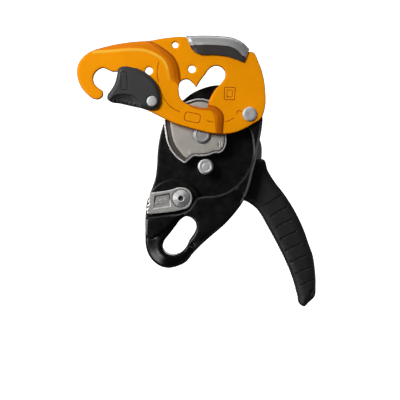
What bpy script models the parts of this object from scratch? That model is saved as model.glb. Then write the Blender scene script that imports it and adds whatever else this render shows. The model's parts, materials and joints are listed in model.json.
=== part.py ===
# Self-braking rope descender, side plate swung open, built as separate jointed pieces.
# Lengths are in millimetres in the outlines and become metres when a mesh is made.
# World frame: origin at the seat of the attachment hole, +Z up, the front faces -Y.
import math

import bmesh
import bpy
from mathutils import Vector

for leftover in list(bpy.data.objects):
    bpy.data.objects.remove(leftover, do_unlink=True)

MM = 0.001
GAP = 0.3

# ---- axes of the pins, as (x, z)
PIVOT = (58.0, 103.1)
AXLE = (20.5, 86.9)
STOP = (23.4, 61.8)
CATCH = (3.9, 36.6)
GATE = (-18.6, 112.4)

# ---- depths, front is the more negative value
PLATE_BACK = 4.0
PLATE_FRONT = 0.0
RIM_FRONT = -14.0
BODY_FRONT = -16.5
PAD_FRONT = -8.0
LOW_BACK = -14.6
LOW_FRONT = -18.0
HIGH_BACK = -17.7
HIGH_FRONT = -21.0
CAM_BACK = -1.0
CAM_FACE = -12.0
CAM_RIM = -13.5
HUB_BACK = 9.0
ARM_BACK = 12.0
GRIP_FRONT = 4.6
GRIP_BACK = 22.0

# ---- outlines, as (x, z); a third value marks a sharp corner
FRAME_OUTLINE = [
    (5.1, 116.5), (-3.0, 110.5), (-9.0, 101.5), (-13.0, 90.0), (-15.5, 75.0), (-16.2, 63.0),
    (-17.5, 53.0), (-21.2, 42.0), (-24.6, 31.0), (-25.6, 20.0), (-25.6, 8.0), (-25.3, -1.0),
    (-23.4, -8.2), (-18.6, -14.9), (-12.9, -18.7), (-6.5, -20.0), (1.0, -18.4), (8.1, -14.6),
    (13.0, -8.4), (18.6, -2.5), (28.1, 6.1), (38.5, 15.0), (47.2, 24.6), (54.0, 34.0),
    (58.6, 45.0), (61.8, 57.5), (64.4, 68.0), (66.6, 80.0), (69.0, 92.0), (69.8, 103.0),
    (67.0, 114.5), (58.0, 122.5), (45.0, 127.5), (31.0, 128.6), (18.1, 125.0), (11.6, 121.6),
]
RIM_OUTLINE = [
    (52.0, 96.5, 1), (57.6, 91.0), (60.0, 82.0), (60.5, 72.0), (58.4, 62.7), (53.5, 54.4),
    (46.6, 47.0), (37.2, 41.3), (29.3, 39.4), (21.6, 39.0), (15.6, 36.9), (12.5, 32.4),
    (9.6, 28.4), (5.2, 26.1), (-8.1, 24.2), (-25.0, 22.2, 1), (-25.6, 8.0), (-25.3, -1.0),
    (-23.4, -8.2), (-18.6, -14.9), (-12.9, -18.7), (-6.5, -20.0), (1.0, -18.4), (8.1, -14.6),
    (13.0, -8.4), (18.6, -2.5), (28.1, 6.1), (38.5, 15.0), (47.2, 24.6), (54.0, 34.0),
    (58.6, 45.0), (61.8, 57.5), (64.4, 68.0), (66.6, 80.0), (68.6, 91.0), (69.4, 101.0, 1),
]
BODY_OUTLINE = [
    (50.5, 44.0), (43.6, 41.6), (36.2, 39.6), (28.9, 38.2), (21.6, 37.8), (16.0, 35.6),
    (13.4, 30.8), (10.2, 27.4), (5.2, 25.4), (-8.1, 23.4), (-20.6, 21.4), (-23.4, 18.4),
    (-23.6, 11.0), (-22.6, 6.4), (-19.2, 4.6), (-14.2, 7.0), (-7.2, 12.2), (-1.6, 17.6),
    (2.8, 22.0), (7.8, 24.0), (13.4, 22.6), (17.2, 18.0), (17.4, 12.6), (15.4, 7.4),
    (13.0, 3.0), (13.6, -1.6), (17.6, -0.6), (27.0, 7.6), (37.2, 16.6), (45.4, 25.8),
    (51.2, 35.0),
]
PAD_OUTLINE = [
    (-24.0, 20.5, 1), (-24.2, 31.0), (-21.0, 41.6), (-14.0, 48.6), (-5.5, 52.0), (4.0, 51.4),
    (12.0, 47.2), (18.0, 40.0), (19.0, 34.0, 1), (8.0, 22.0, 1),
]
HOLE_OUTLINE = [
    (8.0, 22.3), (12.5, 20.8), (15.4, 17.4), (16.0, 13.2), (14.2, 8.4), (10.4, 2.8),
    (7.8, -2.6), (3.4, -7.0), (-2.6, -8.6), (-8.2, -7.0), (-11.2, -3.0), (-10.4, 1.6),
    (-6.2, 7.2), (-1.0, 14.0), (3.4, 19.6),
]
SIDE_OUTLINE = [
    (-57.5, 117.6), (-60.9, 114.6), (-65.2, 115.1), (-70.0, 118.6), (-74.9, 124.7),
    (-77.9, 133.8), (-76.9, 142.4), (-73.2, 147.8), (-67.4, 152.2), (-58.2, 155.5),
    (-45.6, 158.5), (-33.0, 160.3), (-20.4, 161.4), (-10.2, 163.2), (0.0, 164.3),
    (6.8, 164.6, 1), (9.4, 162.4, 1), (20.9, 163.0), (34.0, 162.5), (45.0, 160.9),
    (51.6, 157.4), (56.2, 152.6, 1), (60.4, 152.4), (65.4, 144.0), (69.0, 133.0),
    (70.6, 121.0), (70.4, 109.0), (67.2, 99.8), (60.4, 95.2), (52.3, 90.8), (46.4, 88.6),
    (40.6, 87.6), (29.9, 87.6), (19.7, 89.6), (7.9, 92.8), (-2.5, 96.1), (-13.0, 101.3),
    (-22.1, 105.7), (-27.2, 107.6, 1), (-26.4, 116.0), (-27.4, 124.0), (-30.0, 131.0),
    (-35.0, 136.0), (-41.0, 137.2), (-46.7, 136.4), (-50.4, 136.5), (-53.3, 137.8),
    (-57.4, 139.3), (-62.4, 136.8), (-65.1, 131.9), (-64.6, 127.6), (-61.4, 123.8),
    (-57.6, 120.9),
]
RAISED_TOP = [
    (-82.0, 146.0), (-67.5, 151.6), (-50.0, 153.2), (-33.0, 154.3), (-24.6, 153.7),
    (-15.7, 150.2), (-9.4, 145.6), (-6.6, 140.0), (-5.4, 134.0), (-4.0, 129.2), (0.6, 126.2),
    (11.0, 112.6), (25.2, 107.6), (28.4, 103.4), (31.0, 88.0), (33.0, 80.0), (-30.0, 80.0),
    (-100.0, 90.0), (-100.0, 140.0),
]
RAISED_FOOT = [
    (-86.0, 152.0), (-67.5, 156.5), (-48.0, 160.6), (-33.0, 162.2), (-19.4, 160.4),
    (-9.6, 155.2), (-1.4, 148.2), (2.2, 140.8), (3.4, 134.4), (3.9, 130.4), (6.4, 128.0),
    (14.0, 113.0), (33.0, 108.4), (36.3, 105.2), (37.4, 88.4), (38.4, 80.0), (-30.0, 76.0),
    (-104.0, 86.0), (-104.0, 143.0),
]
WINDOW_OUTLINE = [
    (2.6, 119.6), (2.5, 125.3), (3.6, 128.4), (6.0, 130.2), (9.0, 130.6), (12.3, 128.4),
    (16.0, 124.2, 1), (19.3, 129.6), (23.6, 135.2), (25.4, 137.8), (28.0, 140.2), (32.0, 141.4),
    (35.9, 140.0), (38.5, 136.6), (38.4, 132.4), (35.6, 128.0), (31.1, 123.4), (27.8, 118.3),
    (25.8, 113.6), (24.4, 108.0, 1), (18.7, 108.5), (12.1, 110.1), (6.4, 112.7), (3.6, 115.9),
]
CHANNEL_OUTLINE = [
    (7.7, 165.2, 1), (20.9, 165.7), (34.0, 165.3), (45.7, 163.7), (53.2, 159.9),
    (58.2, 154.8, 1), (53.6, 143.6, 1), (47.3, 146.2), (39.4, 148.6), (28.8, 149.8),
    (18.8, 150.0), (14.6, 152.0),
]
GATE_OUTLINE = [
    (-45.3, 138.2, 1), (-42.1, 139.9), (-35.1, 139.4), (-25.7, 136.4), (-18.6, 130.8),
    (-13.9, 124.2), (-12.1, 116.6), (-12.5, 110.8), (-14.7, 107.2), (-17.9, 106.0),
    (-23.3, 106.5), (-33.5, 108.6), (-43.7, 110.9), (-51.6, 112.5), (-53.6, 114.2),
    (-53.6, 117.4), (-51.4, 120.7), (-48.4, 125.5), (-46.4, 132.0),
]
GATE_LIP = [
    (-53.2, 114.4), (-52.6, 117.6), (-50.0, 121.2), (-48.4, 123.4), (-45.8, 121.8),
    (-44.2, 117.0), (-44.6, 112.4), (-49.4, 112.8),
]
CAM_OUTLINE = [
    (-8.2, 105.0), (-9.6, 99.4), (-8.8, 89.4), (-6.6, 79.4), (-1.8, 71.4), (3.5, 66.6),
    (6.8, 64.8), (10.1, 67.4), (13.4, 70.1), (18.9, 70.3), (25.3, 70.9), (30.6, 72.7),
    (35.0, 73.0), (37.8, 75.2), (39.6, 79.6), (39.8, 87.3), (38.0, 99.5), (33.0, 109.0),
    (25.3, 115.0), (16.4, 116.0), (8.1, 113.6), (-1.0, 110.4),
]
CAM_PLATE_OUTLINE = [
    (-3.4, 103.6), (-4.6, 98.6), (-3.8, 89.6), (-1.8, 81.4), (2.4, 74.4), (6.0, 70.4),
    (8.4, 68.6), (12.2, 71.6), (18.7, 72.1), (25.0, 72.7), (30.2, 74.5), (34.4, 74.9),
    (36.2, 76.4), (37.8, 80.4), (38.0, 87.3), (36.2, 98.6), (31.6, 107.2), (24.6, 112.6),
    (16.6, 113.4), (8.8, 111.0), (1.6, 108.2),
]
CATCH_OUTLINE = [
    (-20.6, 40.9, 1), (-2.0, 44.1), (1.4, 45.2), (6.4, 44.9), (10.7, 42.6), (12.5, 38.5),
    (12.2, 33.6), (9.4, 29.2), (4.4, 27.6), (-20.5, 24.0, 1), (-23.4, 25.0), (-22.6, 33.0),
    (-21.8, 40.0),
]
CATCH_POCKET = [(-17.2, 38.6, 1), (-5.2, 40.9, 1), (-4.2, 29.9, 1), (-18.6, 27.8, 1)]
GRIP_OUTLINE = [
    (71.2, 68.8), (74.8, 59.6), (80.1, 50.8), (88.0, 40.6), (93.7, 32.0), (99.9, 20.9),
    (104.8, 9.8), (108.4, -0.6), (111.6, -9.6), (113.6, -22.0), (114.2, -35.0), (113.2, -44.2),
    (108.6, -48.8), (104.2, -52.4), (101.8, -51.2), (99.8, -44.8), (96.8, -33.6), (92.7, -22.0),
    (87.6, -10.6), (82.3, -0.2), (77.2, 9.2), (71.9, 18.8), (66.4, 27.6), (59.6, 33.0),
    (52.0, 37.0), (48.6, 45.0), (51.0, 54.0), (58.0, 62.0), (65.0, 68.4),
]
ARM_OUTLINE = [
    (30.5, 65.5), (44.0, 56.0), (52.6, 44.0), (58.6, 38.0), (66.0, 31.6), (72.0, 23.6),
    (78.4, 12.6), (84.0, 8.4), (90.0, 12.2), (90.6, 19.6), (85.4, 30.4), (78.4, 42.4),
    (72.4, 52.4), (68.8, 60.4), (69.8, 70.6), (69.6, 80.6), (64.4, 92.6), (54.0, 104.0),
    (42.0, 109.6), (26.0, 112.4), (9.6, 110.0), (-1.6, 100.0), (-5.0, 86.0), (0.4, 73.0),
    (13.0, 64.2),
]
COLOURS = {
    "black": ((0.028, 0.028, 0.030), 0.42, 0.0),
    "plastic": ((0.035, 0.037, 0.040), 0.55, 0.0),
    "gold": ((0.90, 0.40, 0.015), 0.38, 0.35),
    "steel": ((0.50, 0.50, 0.51), 0.30, 1.0),
    "satin": ((0.42, 0.40, 0.37), 0.42, 0.9),
    "wear": ((0.30, 0.30, 0.31), 0.35, 0.9),
    "bronze": ((0.55, 0.38, 0.16), 0.35, 1.0),
}


def area(points):
    total = 0.0
    for here, after in zip(points, points[1:] + points[:1]):
        total += here[0] * after[1] - after[0] * here[1]
    return total / 2


def smooth(outline, step=2.6):
    """A closed curve through the outline, with sharp corners where a point is marked."""
    places = [Vector(p[:2]) for p in outline]
    sharp = [len(p) > 2 for p in outline]
    count = len(places)

    def direction(index, leaving):
        before, here, after = places[index - 1], places[index], places[(index + 1) % count]
        if sharp[index]:
            return ((after - here) if leaving else (here - before)).normalized()
        back, ahead = (here - before).length, (after - here).length
        return ((here - before) / back * ahead + (after - here) / ahead * back) / (back + ahead)

    result = []
    for index in range(count):
        start, end = places[index], places[(index + 1) % count]
        length = (end - start).length
        leave, arrive = direction(index, True) * length, direction((index + 1) % count, False) * length
        pieces = max(1, round(length / step))
        for piece in range(pieces):
            t = piece / pieces
            result.append(tuple(
                (2 * t ** 3 - 3 * t * t + 1) * start + (t ** 3 - 2 * t * t + t) * leave
                + (3 * t * t - 2 * t ** 3) * end + (t ** 3 - t * t) * arrive
            ))
    return result if area(result) > 0 else result[::-1]


def circle(centre, radius, count=32):
    steps = [2 * math.pi * i / count for i in range(count)]
    return [(centre[0] + radius * math.cos(a), centre[1] + radius * math.sin(a)) for a in steps]


def offset(points, distance):
    """Moves each point of an anticlockwise outline along its outward normal."""
    moved = []
    count = len(points)
    for index in range(count):
        before, here, after = (Vector(points[k % count]) for k in (index - 1, index, index + 1))
        first, second = (here - before).normalized(), (after - here).normalized()
        bisector = Vector((first.y + second.y, -first.x - second.x))
        bisector.normalize()
        stretch = max(0.6, bisector.dot(Vector((first.y, -first.x))))
        moved.append(tuple(here + bisector * distance / stretch))
    return moved


def loft(name, rings, axis=(0.0, 0.0)):
    """One closed solid through rings given as (y, outline) from back to front."""
    mesh = bpy.data.meshes.new(name)
    shape = bmesh.new()
    layers = []
    for y, points in rings:
        layers.append([shape.verts.new(((x - axis[0]) * MM, y * MM, (z - axis[1]) * MM)) for x, z in points])
    shape.faces.new(layers[0])
    shape.faces.new(list(reversed(layers[-1])))
    count = len(layers[0])
    for lower, upper in zip(layers, layers[1:]):
        for index in range(count):
            after = (index + 1) % count
            shape.faces.new((lower[after], lower[index], upper[index], upper[after]))
    bmesh.ops.recalc_face_normals(shape, faces=shape.faces)
    shape.to_mesh(mesh)
    shape.free()
    solid = bpy.data.objects.new(name, mesh)
    solid.location = (axis[0] * MM, 0.0, axis[1] * MM)
    bpy.context.scene.collection.objects.link(solid)
    return solid


def slab(name, points, back, front, back_edge=0.4, front_edge=0.6, axis=(0.0, 0.0)):
    """A flat piece with a chamfer around its back face and its front face."""
    rings = [(back, offset(points, -back_edge)), (back - back_edge, points)]
    rings += [(front + front_edge, points), (front, offset(points, -front_edge))]
    return loft(name, rings, axis)


def turned(name, centre, profile, count=32, axis=None):
    """A round piece: profile holds (y, radius) from back to front."""
    rings = [(y, circle(centre, radius, count)) for y, radius in profile]
    return loft(name, rings, axis or (0.0, 0.0))


def combine(target, operation, *others):
    """Applies exact Booleans to the target and removes the operands."""
    for other in others:
        modifier = target.modifiers.new("combine", "BOOLEAN")
        modifier.operation = operation
        modifier.solver = "EXACT"
        modifier.object = other
        bpy.context.view_layer.update()
        depsgraph = bpy.context.evaluated_depsgraph_get()
        result = bpy.data.meshes.new_from_object(target.evaluated_get(depsgraph))
        target.modifiers.clear()
        target.data = result
        bpy.data.objects.remove(other, do_unlink=True)
    return target


def cut_hole(target, centre, radius, back, front, count=32):
    combine(target, "DIFFERENCE", turned("hole", centre, [(back, radius), (front, radius)], count))


def ring(name, centre, outer, inner, back, front, count=26, axis=None, edge=0.3):
    """A flat ring with a small chamfer on its front outer edge."""
    body = turned(name, centre, [(back, outer), (front + edge, outer), (front, outer - edge)], count, axis)
    cut_hole(body, centre, inner, back + 2, front - 2, max(count, 24))
    return body


def coil(name, centre, radius, wire, back, front, turns, axis=None, sides=5):
    """A compression or torsion coil along Y as one closed tube."""
    base = axis or (0.0, 0.0)
    mesh = bpy.data.meshes.new(name)
    shape = bmesh.new()
    steps = int(turns * 12)
    rings = []
    for step in range(steps + 1):
        angle = 2 * math.pi * turns * step / steps
        y = back + (front - back) * step / steps
        rise = (front - back) / (2 * math.pi * turns * radius)
        tangent = Vector((-math.sin(angle), rise, math.cos(angle))).normalized()
        out = Vector((math.cos(angle), 0.0, math.sin(angle)))
        side = tangent.cross(out)
        middle = Vector((centre[0] - base[0], y, centre[1] - base[1])) + out * radius
        row = []
        for k in range(sides):
            turn = 2 * math.pi * k / sides
            row.append(shape.verts.new((middle + (out * math.cos(turn) + side * math.sin(turn)) * wire) * MM))
        rings.append(row)
    for lower, upper in zip(rings, rings[1:]):
        for k in range(sides):
            shape.faces.new((lower[k], lower[(k + 1) % sides], upper[(k + 1) % sides], upper[k]))
    shape.faces.new(rings[0])
    shape.faces.new(list(reversed(rings[-1])))
    bmesh.ops.recalc_face_normals(shape, faces=shape.faces)
    shape.to_mesh(mesh)
    shape.free()
    spring = bpy.data.objects.new(name, mesh)
    spring.location = (base[0] * MM, 0.0, base[1] * MM)
    bpy.context.scene.collection.objects.link(spring)
    return spring


def finish(solid, colour, smooth_angle=35):
    """Own material and shading for one piece."""
    base, rough, metal = COLOURS[colour]
    material = bpy.data.materials.new(solid.name + "_material")
    material.use_nodes = True
    shader = material.node_tree.nodes["Principled BSDF"]
    shader.inputs["Base Color"].default_value = (*base, 1.0)
    shader.inputs["Roughness"].default_value = rough
    shader.inputs["Metallic"].default_value = metal
    solid.data.materials.clear()
    solid.data.materials.append(material)
    shape = bmesh.new()
    shape.from_mesh(solid.data)
    limit = math.radians(smooth_angle)
    for face in shape.faces:
        face.smooth = True
    for edge in shape.edges:
        edge.smooth = len(edge.link_faces) == 2 and edge.calc_face_angle() < limit
    shape.to_mesh(solid.data)
    shape.free()
    return solid


# ---- fixed frame: flat plate, rim wall, raised lower body, catch pad and pivot boss
def build_frame():
    frame = slab("fixed_frame", smooth(FRAME_OUTLINE, 4.4), PLATE_BACK, PLATE_FRONT, 0.8, 0.5)
    rim = smooth(RIM_OUTLINE, 3.8)
    rim_wall = loft("rim", [
        (PLATE_FRONT + 1.0, offset(rim, -0.9)), (-9.5, offset(rim, -0.9)), (-13.0, offset(rim, -1.0)),
        (RIM_FRONT, offset(rim, -1.6)),
    ])
    raised = smooth(BODY_OUTLINE, 3.8)
    body = loft("body", [(RIM_FRONT + 2.0, raised), (-14.8, offset(raised, -0.2)),
                         (-16.0, offset(raised, -0.6)), (BODY_FRONT, offset(raised, -1.2))])
    pad = smooth(PAD_OUTLINE, 3.2)
    catch_pad = loft("pad", [(PLATE_FRONT + 1.0, pad), (PAD_FRONT + 1.0, pad),
                             (PAD_FRONT, offset(pad, -1.0))])
    boss = turned("boss", PIVOT, [(1.0, 9.0), (RIM_FRONT + 0.8, 9.0), (RIM_FRONT, 8.2)])
    combine(frame, "UNION", catch_pad, rim_wall, body, boss)
    hole = smooth(HOLE_OUTLINE, 2.4)
    opening = loft("opening", [(6.0, offset(hole, 2.0)), (2.5, offset(hole, 0.4)), (0.0, hole),
                               (-11.5, hole), (-14.0, offset(hole, 0.8)), (-19.0, offset(hole, 2.0))])
    combine(frame, "DIFFERENCE", opening)
    pocket = loft("pocket", [(-12.0, circle((12.6, -0.4), 1.6, 16)),
                             (-18.0, circle((12.9, -0.6), 2.8, 16))])
    combine(frame, "DIFFERENCE", pocket)
    cut_hole(frame, AXLE, 9.6, 8.0, -4.0)
    cut_hole(frame, PIVOT, 4.3, 8.0, -20.0)
    cut_hole(frame, STOP, 3.3, 8.0, -4.0, 24)
    cut_hole(frame, CATCH, 2.8, 8.0, -20.0, 24)
    cut_hole(frame, CATCH, 6.6, -5.0, -20.0, 24)
    cut_hole(frame, (40.0, 108.5), 2.3, 8.0, -4.0, 16)
    return finish(frame, "black")


# ---- moving side plate: low region around the pivot, raised hook and lower strip
def build_side_plate():
    outline = smooth(SIDE_OUTLINE, 2.8)
    low = slab("moving_side_plate", outline, LOW_BACK, LOW_FRONT, 0.5, 0.5, PIVOT)
    high = slab("high", outline, LOW_FRONT + 0.9, HIGH_FRONT, 0.0001, 0.7)
    top = smooth(RAISED_TOP, 4.0)
    foot = matched(RAISED_TOP, RAISED_FOOT, 4.0)
    bump = loft("bump", [(LOW_FRONT + 1.4, foot), (LOW_FRONT, foot),
                         (HIGH_FRONT + 0.5, blend(foot, top, 0.86)),
                         (HIGH_FRONT - 0.001, blend(foot, top, 1.0)), (HIGH_FRONT - 1.0, top)])
    combine(high, "INTERSECT", bump)
    combine(low, "UNION", high)
    hollow = loft("hollow", [(LOW_BACK + 2.0, foot), (LOW_BACK, foot), (HIGH_BACK, top)])
    combine(low, "DIFFERENCE", hollow)
    window = smooth(WINDOW_OUTLINE, 2.4)
    opening = loft("window", [(-12.0, offset(window, 0.8)), (-14.6, offset(window, 0.8)),
                              (-15.1, offset(window, 0.2)), (-20.4, offset(window, 0.2)),
                              (-22.0, offset(window, 1.3))])
    combine(low, "DIFFERENCE", opening)
    for centre, radius in (((-0.6, 157.9), 2.4), ((12.6, 138.8), 3.0), ((-21.2, 137.0), 3.0)):
        cut_hole(low, centre, radius, -12.0, -24.0, 24)
    cut_hole(low, PIVOT, 4.3, -12.0, -24.0, 32)
    cut_hole(low, GATE, 2.3, -12.0, -24.0, 24)
    for centre in CHANNEL_RIVETS:
        cut_hole(low, centre, 1.5, -12.0, -24.0, 16)
    return finish(low, "gold", 24)


def blend(first, second, share):
    return [(a[0] + (b[0] - a[0]) * share, a[1] + (b[1] - a[1]) * share) for a, b in zip(first, second)]


def matched(reference, other, step):
    """The second outline drawn with as many points as the smoothed first one."""
    result = []
    count = len(reference)
    reverse = area([p[:2] for p in reference]) < 0
    for index in range(count):
        start, end = reference[index], reference[(index + 1) % count]
        length = math.hypot(end[0] - start[0], end[1] - start[1])
        pieces = max(1, round(length / step))
        near, here = Vector(other[index - 1]), Vector(other[index])
        after, far = Vector(other[(index + 1) % count]), Vector(other[(index + 2) % count])
        for piece in range(pieces):
            t = piece / pieces
            spot = 0.5 * (2 * here + (after - near) * t + (2 * near - 5 * here + 4 * after - far) * t * t
                          + (3 * here - near - 3 * after + far) * t ** 3)
            result.append(tuple(spot))
    return result[::-1] if reverse else result


CHANNEL_RIVETS = [(22.0, 155.0), (44.0, 152.4)]


def build_channel():
    """Steel wear edge wrapped over the top of the side plate, where the free strand rubs."""
    outline = smooth(CHANNEL_OUTLINE, 3.6)
    cover = loft("wear_channel", [(LOW_BACK + 0.2, outline), (-18.6, outline),
                                  (-19.6, offset(outline, -1.0)), (-20.4, offset(outline, -2.6)),
                                  (-20.8, offset(outline, -4.6))], PIVOT)
    plate = offset(smooth(SIDE_OUTLINE, 2.8), GAP)
    inside = loft("inside", [(-10.0, plate), (LOW_FRONT - GAP, plate)])
    combine(cover, "DIFFERENCE", inside)
    for centre in CHANNEL_RIVETS:
        cut_hole(cover, centre, 1.5, -10.0, -24.0, 16)
    return finish(cover, "wear", 30)


def build_gate():
    outline = smooth(GATE_OUTLINE, 3.6)
    gate = loft("safety_gate", [(HIGH_FRONT - GAP, offset(outline, -0.3)), (-21.7, outline),
                                (-24.0, outline), (-24.7, offset(outline, -0.5)),
                                (-25.0, offset(outline, -1.3))], GATE)
    lip = loft("lip", [(-18.3, offset(smooth(GATE_LIP, 3.4), -0.4)), (-18.7, smooth(GATE_LIP, 3.4)),
                       (-22.5, smooth(GATE_LIP, 3.4))])
    combine(gate, "UNION", lip)
    scallop = smooth([(-52.0, 111.0), (-46.6, 115.4), (-40.0, 117.4), (-33.6, 115.4), (-28.4, 109.6),
                      (-30.0, 104.0), (-44.0, 104.0)], 2.6)
    thumb_cut = loft("scallop", [(-23.2, offset(scallop, -1.0)), (-27.0, offset(scallop, 0.6))])
    combine(gate, "DIFFERENCE", thumb_cut)
    for index in range(6):
        spot = (-47.6 + 3.4 * index, 112.6 - 0.75 * index)
        ridge = loft("ridge", [(-23.0, circle(spot, 1.1, 8)), (-24.3, circle(spot, 0.6, 8))])
        combine(gate, "UNION", ridge)
    cut_hole(gate, GATE, 2.3, -15.0, -30.0, 24)
    cut_hole(gate, GATE, 4.6, -19.0, -23.4, 24)
    return finish(gate, "plastic", 30)


def build_cam():
    outline = smooth(CAM_OUTLINE, 3.6)
    cam = loft("cam_body", [(CAM_BACK, offset(outline, -1.2)), (CAM_BACK - 1.4, outline),
                            (CAM_RIM + 0.5, outline), (CAM_RIM, offset(outline, -0.5))], AXLE)
    inner = offset(outline, -1.3)
    combine(cam, "DIFFERENCE", loft("recess", [(CAM_FACE, inner), (-16.0, inner)]))
    combine(cam, "UNION", turned("spigot", AXLE, [(8.0, 7.6), (4.4, 9.0), (CAM_BACK - 1.0, 9.0)], 28))
    cut_hole(cam, AXLE, 6.8, 12.0, -16.0, 26)
    combine(cam, "DIFFERENCE", ring("spring_seat", AXLE, 14.0, 10.0, 1.0, -6.0, 32))
    face = slab("cam_face_plate", smooth(CAM_PLATE_OUTLINE, 3.6), CAM_FACE - GAP, -14.0, 0.1, 0.5, AXLE)
    cut_hole(face, AXLE, 6.8, -8.0, -18.0, 26)
    return finish(cam, "satin", 30), finish(face, "satin", 30)


def build_catch():
    outline = smooth(CATCH_OUTLINE, 3.4)
    catch = slab("anti_error_catch", outline, PAD_FRONT - GAP, -14.6, 0.4, 0.7, CATCH)
    pocket = smooth(CATCH_POCKET, 3.0)
    pocket_cut = loft("pocket", [(-13.6, offset(pocket, -0.8)), (-16.0, offset(pocket, 0.6))])
    combine(catch, "DIFFERENCE", pocket_cut)
    for index in range(5):
        spot = (-23.8 + 0.45 * index, 25.6 + 3.3 * index)
        combine(catch, "DIFFERENCE", turned("tooth", spot, [(-4.0, 0.85), (-18.0, 0.85)], 8))
    cut_hole(catch, CATCH, 3.1, -4.0, -18.0, 24)
    combine(catch, "DIFFERENCE", turned("seat", CATCH, [(-12.2, 7.3), (-18.0, 7.3)], 32))
    return finish(catch, "satin", 30)


def build_handle():
    outline = smooth(GRIP_OUTLINE, 4.0)
    grip = loft("handle_grip", [
        (GRIP_BACK, offset(outline, -4.2)), (GRIP_BACK - 1.6, offset(outline, -1.4)),
        (GRIP_BACK - 4.6, outline), (GRIP_FRONT + 2.6, outline),
        (GRIP_FRONT + 0.4, offset(outline, -1.6)), (GRIP_FRONT, offset(outline, -2.6))], AXLE)
    arm_shape = smooth(ARM_OUTLINE, 5.5)
    slot = offset(arm_shape, GAP)
    combine(grip, "DIFFERENCE", loft("slot", [(ARM_BACK + GAP, slot), (HUB_BACK - GAP, slot)]))
    for index in range(8):
        along = index / 7
        left = Vector((72.0 + 28.6 * along, 32.6 - 66.2 * along))
        right = Vector((86.0 + 26.4 * along, 38.8 - 69.4 * along))
        reach = (right - left).normalized()
        across = Vector((-reach.y, reach.x)) * 0.9
        corners = [left + across, left - across, right + reach - across, right + reach + across]
        groove = [tuple(p) for p in corners]
        groove = groove if area(groove) > 0 else groove[::-1]
        groove_cut = loft("groove", [(GRIP_FRONT + 1.5, groove), (GRIP_FRONT - 2.0, offset(groove, 0.9))])
        combine(grip, "DIFFERENCE", groove_cut)
    combine(grip, "DIFFERENCE", turned("button_well", BUTTON, [(GRIP_BACK + 2, 5.3), (14.0, 5.3)], 28))
    for centre in GRIP_SCREWS:
        cut_hole(grip, centre, 1.9, 30.0, 6.6, 16)
        cut_hole(grip, centre, 3.4, 30.0, 19.4, 20)
    arm = slab("handle_arm", arm_shape, ARM_BACK, HUB_BACK, 0.4, 0.4, AXLE)
    cut_hole(arm, AXLE, 8.1, 16.0, 6.0, 28)
    for centre in GRIP_SCREWS:
        cut_hole(arm, centre, 1.9, 16.0, 6.0, 16)
    for centre in COVER_SCREWS:
        cut_hole(arm, centre, 1.3, 16.0, 6.0, 16)
    combine(arm, "DIFFERENCE", stop_slot())
    return finish(grip, "plastic", 30), finish(arm, "steel", 30)


def stop_slot():
    """Curved slot in the arm that runs round the fixed stop stud."""
    reach = math.hypot(40.0 - AXLE[0], 108.5 - AXLE[1])
    start = math.atan2(108.5 - AXLE[1], 40.0 - AXLE[0])
    span = math.radians(HANDLE_SWING)
    steps = 10
    outer, inner = [], []
    for index in range(steps + 1):
        angle = start - span * index / steps
        outer.append((AXLE[0] + (reach + 2.5) * math.cos(angle), AXLE[1] + (reach + 2.5) * math.sin(angle)))
        inner.append((AXLE[0] + (reach - 2.5) * math.cos(angle), AXLE[1] + (reach - 2.5) * math.sin(angle)))
    first = round_end(start, reach, 1)
    last = round_end(start - span, reach, -1)
    points = outer + last + inner[::-1] + first
    points = points if area(points) > 0 else points[::-1]
    return loft("slot", [(16.0, points), (6.0, points)])


def round_end(angle, reach, sign):
    """Half circle that closes one end of the curved slot."""
    centre = Vector((AXLE[0] + reach * math.cos(angle), AXLE[1] + reach * math.sin(angle)))
    out = Vector((math.cos(angle), math.sin(angle)))
    ahead = Vector((-math.sin(angle), math.cos(angle))) * sign
    points = []
    for index in range(1, 6):
        turn = math.pi * index / 6
        side = 1 if sign < 0 else -1
        points.append(tuple(centre + out * 2.5 * math.cos(turn) * side + ahead * 2.5 * math.sin(turn)))
    return points


HANDLE_SWING = 80
BUTTON = (60.0, 48.0)
GRIP_SCREWS = [(69.0, 41.0), (84.0, 17.0)]
COVER_SCREWS = [(AXLE[0] + 17.5 * math.cos(math.radians(a)), AXLE[1] + 17.5 * math.sin(math.radians(a)))
                for a in (150, 225, 300)]

build_frame()
build_side_plate()
build_channel()
build_gate()
build_cam()
build_catch()
build_handle()

# ---- pins and washers that belong to the frame
axle = turned("cam_axle", AXLE, [(17.2, 4.4), (16.6, 5.0), (-14.2, 5.0), (-14.2, 6.9), (-14.35, 6.9),
                                 (-14.5, 6.1), (-16.4, 5.9), (-17.2, 5.0)], 26)
finish(axle, "steel", 30)
finish(ring("cam_bushing", AXLE, 6.5, 5.3, 8.0, -13.5, 26, AXLE), "bronze")
finish(ring("axle_nut", AXLE, 7.8, 5.3, 16.4, 12.6, 6), "steel")
finish(ring("hub_bushing", AXLE, 7.8, 5.3, 12.0, 8.9, 26, AXLE), "bronze")
pin = turned("stop_pin", STOP, [(4.0, 3.0), (-13.3, 3.0), (-13.4, 6.1), (-14.3, 6.1), (-14.5, 5.3),
                                (-16.7, 5.3), (-17.2, 4.7)], 26)
finish(pin, "steel", 30)
finish(ring("stop_pin_sleeve", STOP, 5.6, 3.3, -GAP, -13.1, 26), "steel")
post = turned("pivot_post", PIVOT, [(4.2, 3.4), (3.8, 4.0), (-18.3, 4.0),
                                    (-18.3, 5.75), (-19.4, 5.75), (-20.1, 4.9)], 26)
finish(post, "steel", 30)
catch_rivet = turned("catch_rivet", CATCH, [(3.8, 2.5), (-12.5, 2.5), (-12.5, 6.95), (-14.3, 6.95),
                                            (-17.2, 3.2)], 26)
socket = turned("socket", CATCH, [(-14.4, 1.9), (-19.0, 1.9)], 6)
combine(catch_rivet, "DIFFERENCE", socket)
finish(catch_rivet, "steel", 30)
finish(coil("catch_spring", CATCH, 4.6, 0.40, -5.7, -7.5, 1.6, CATCH), "steel")
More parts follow.
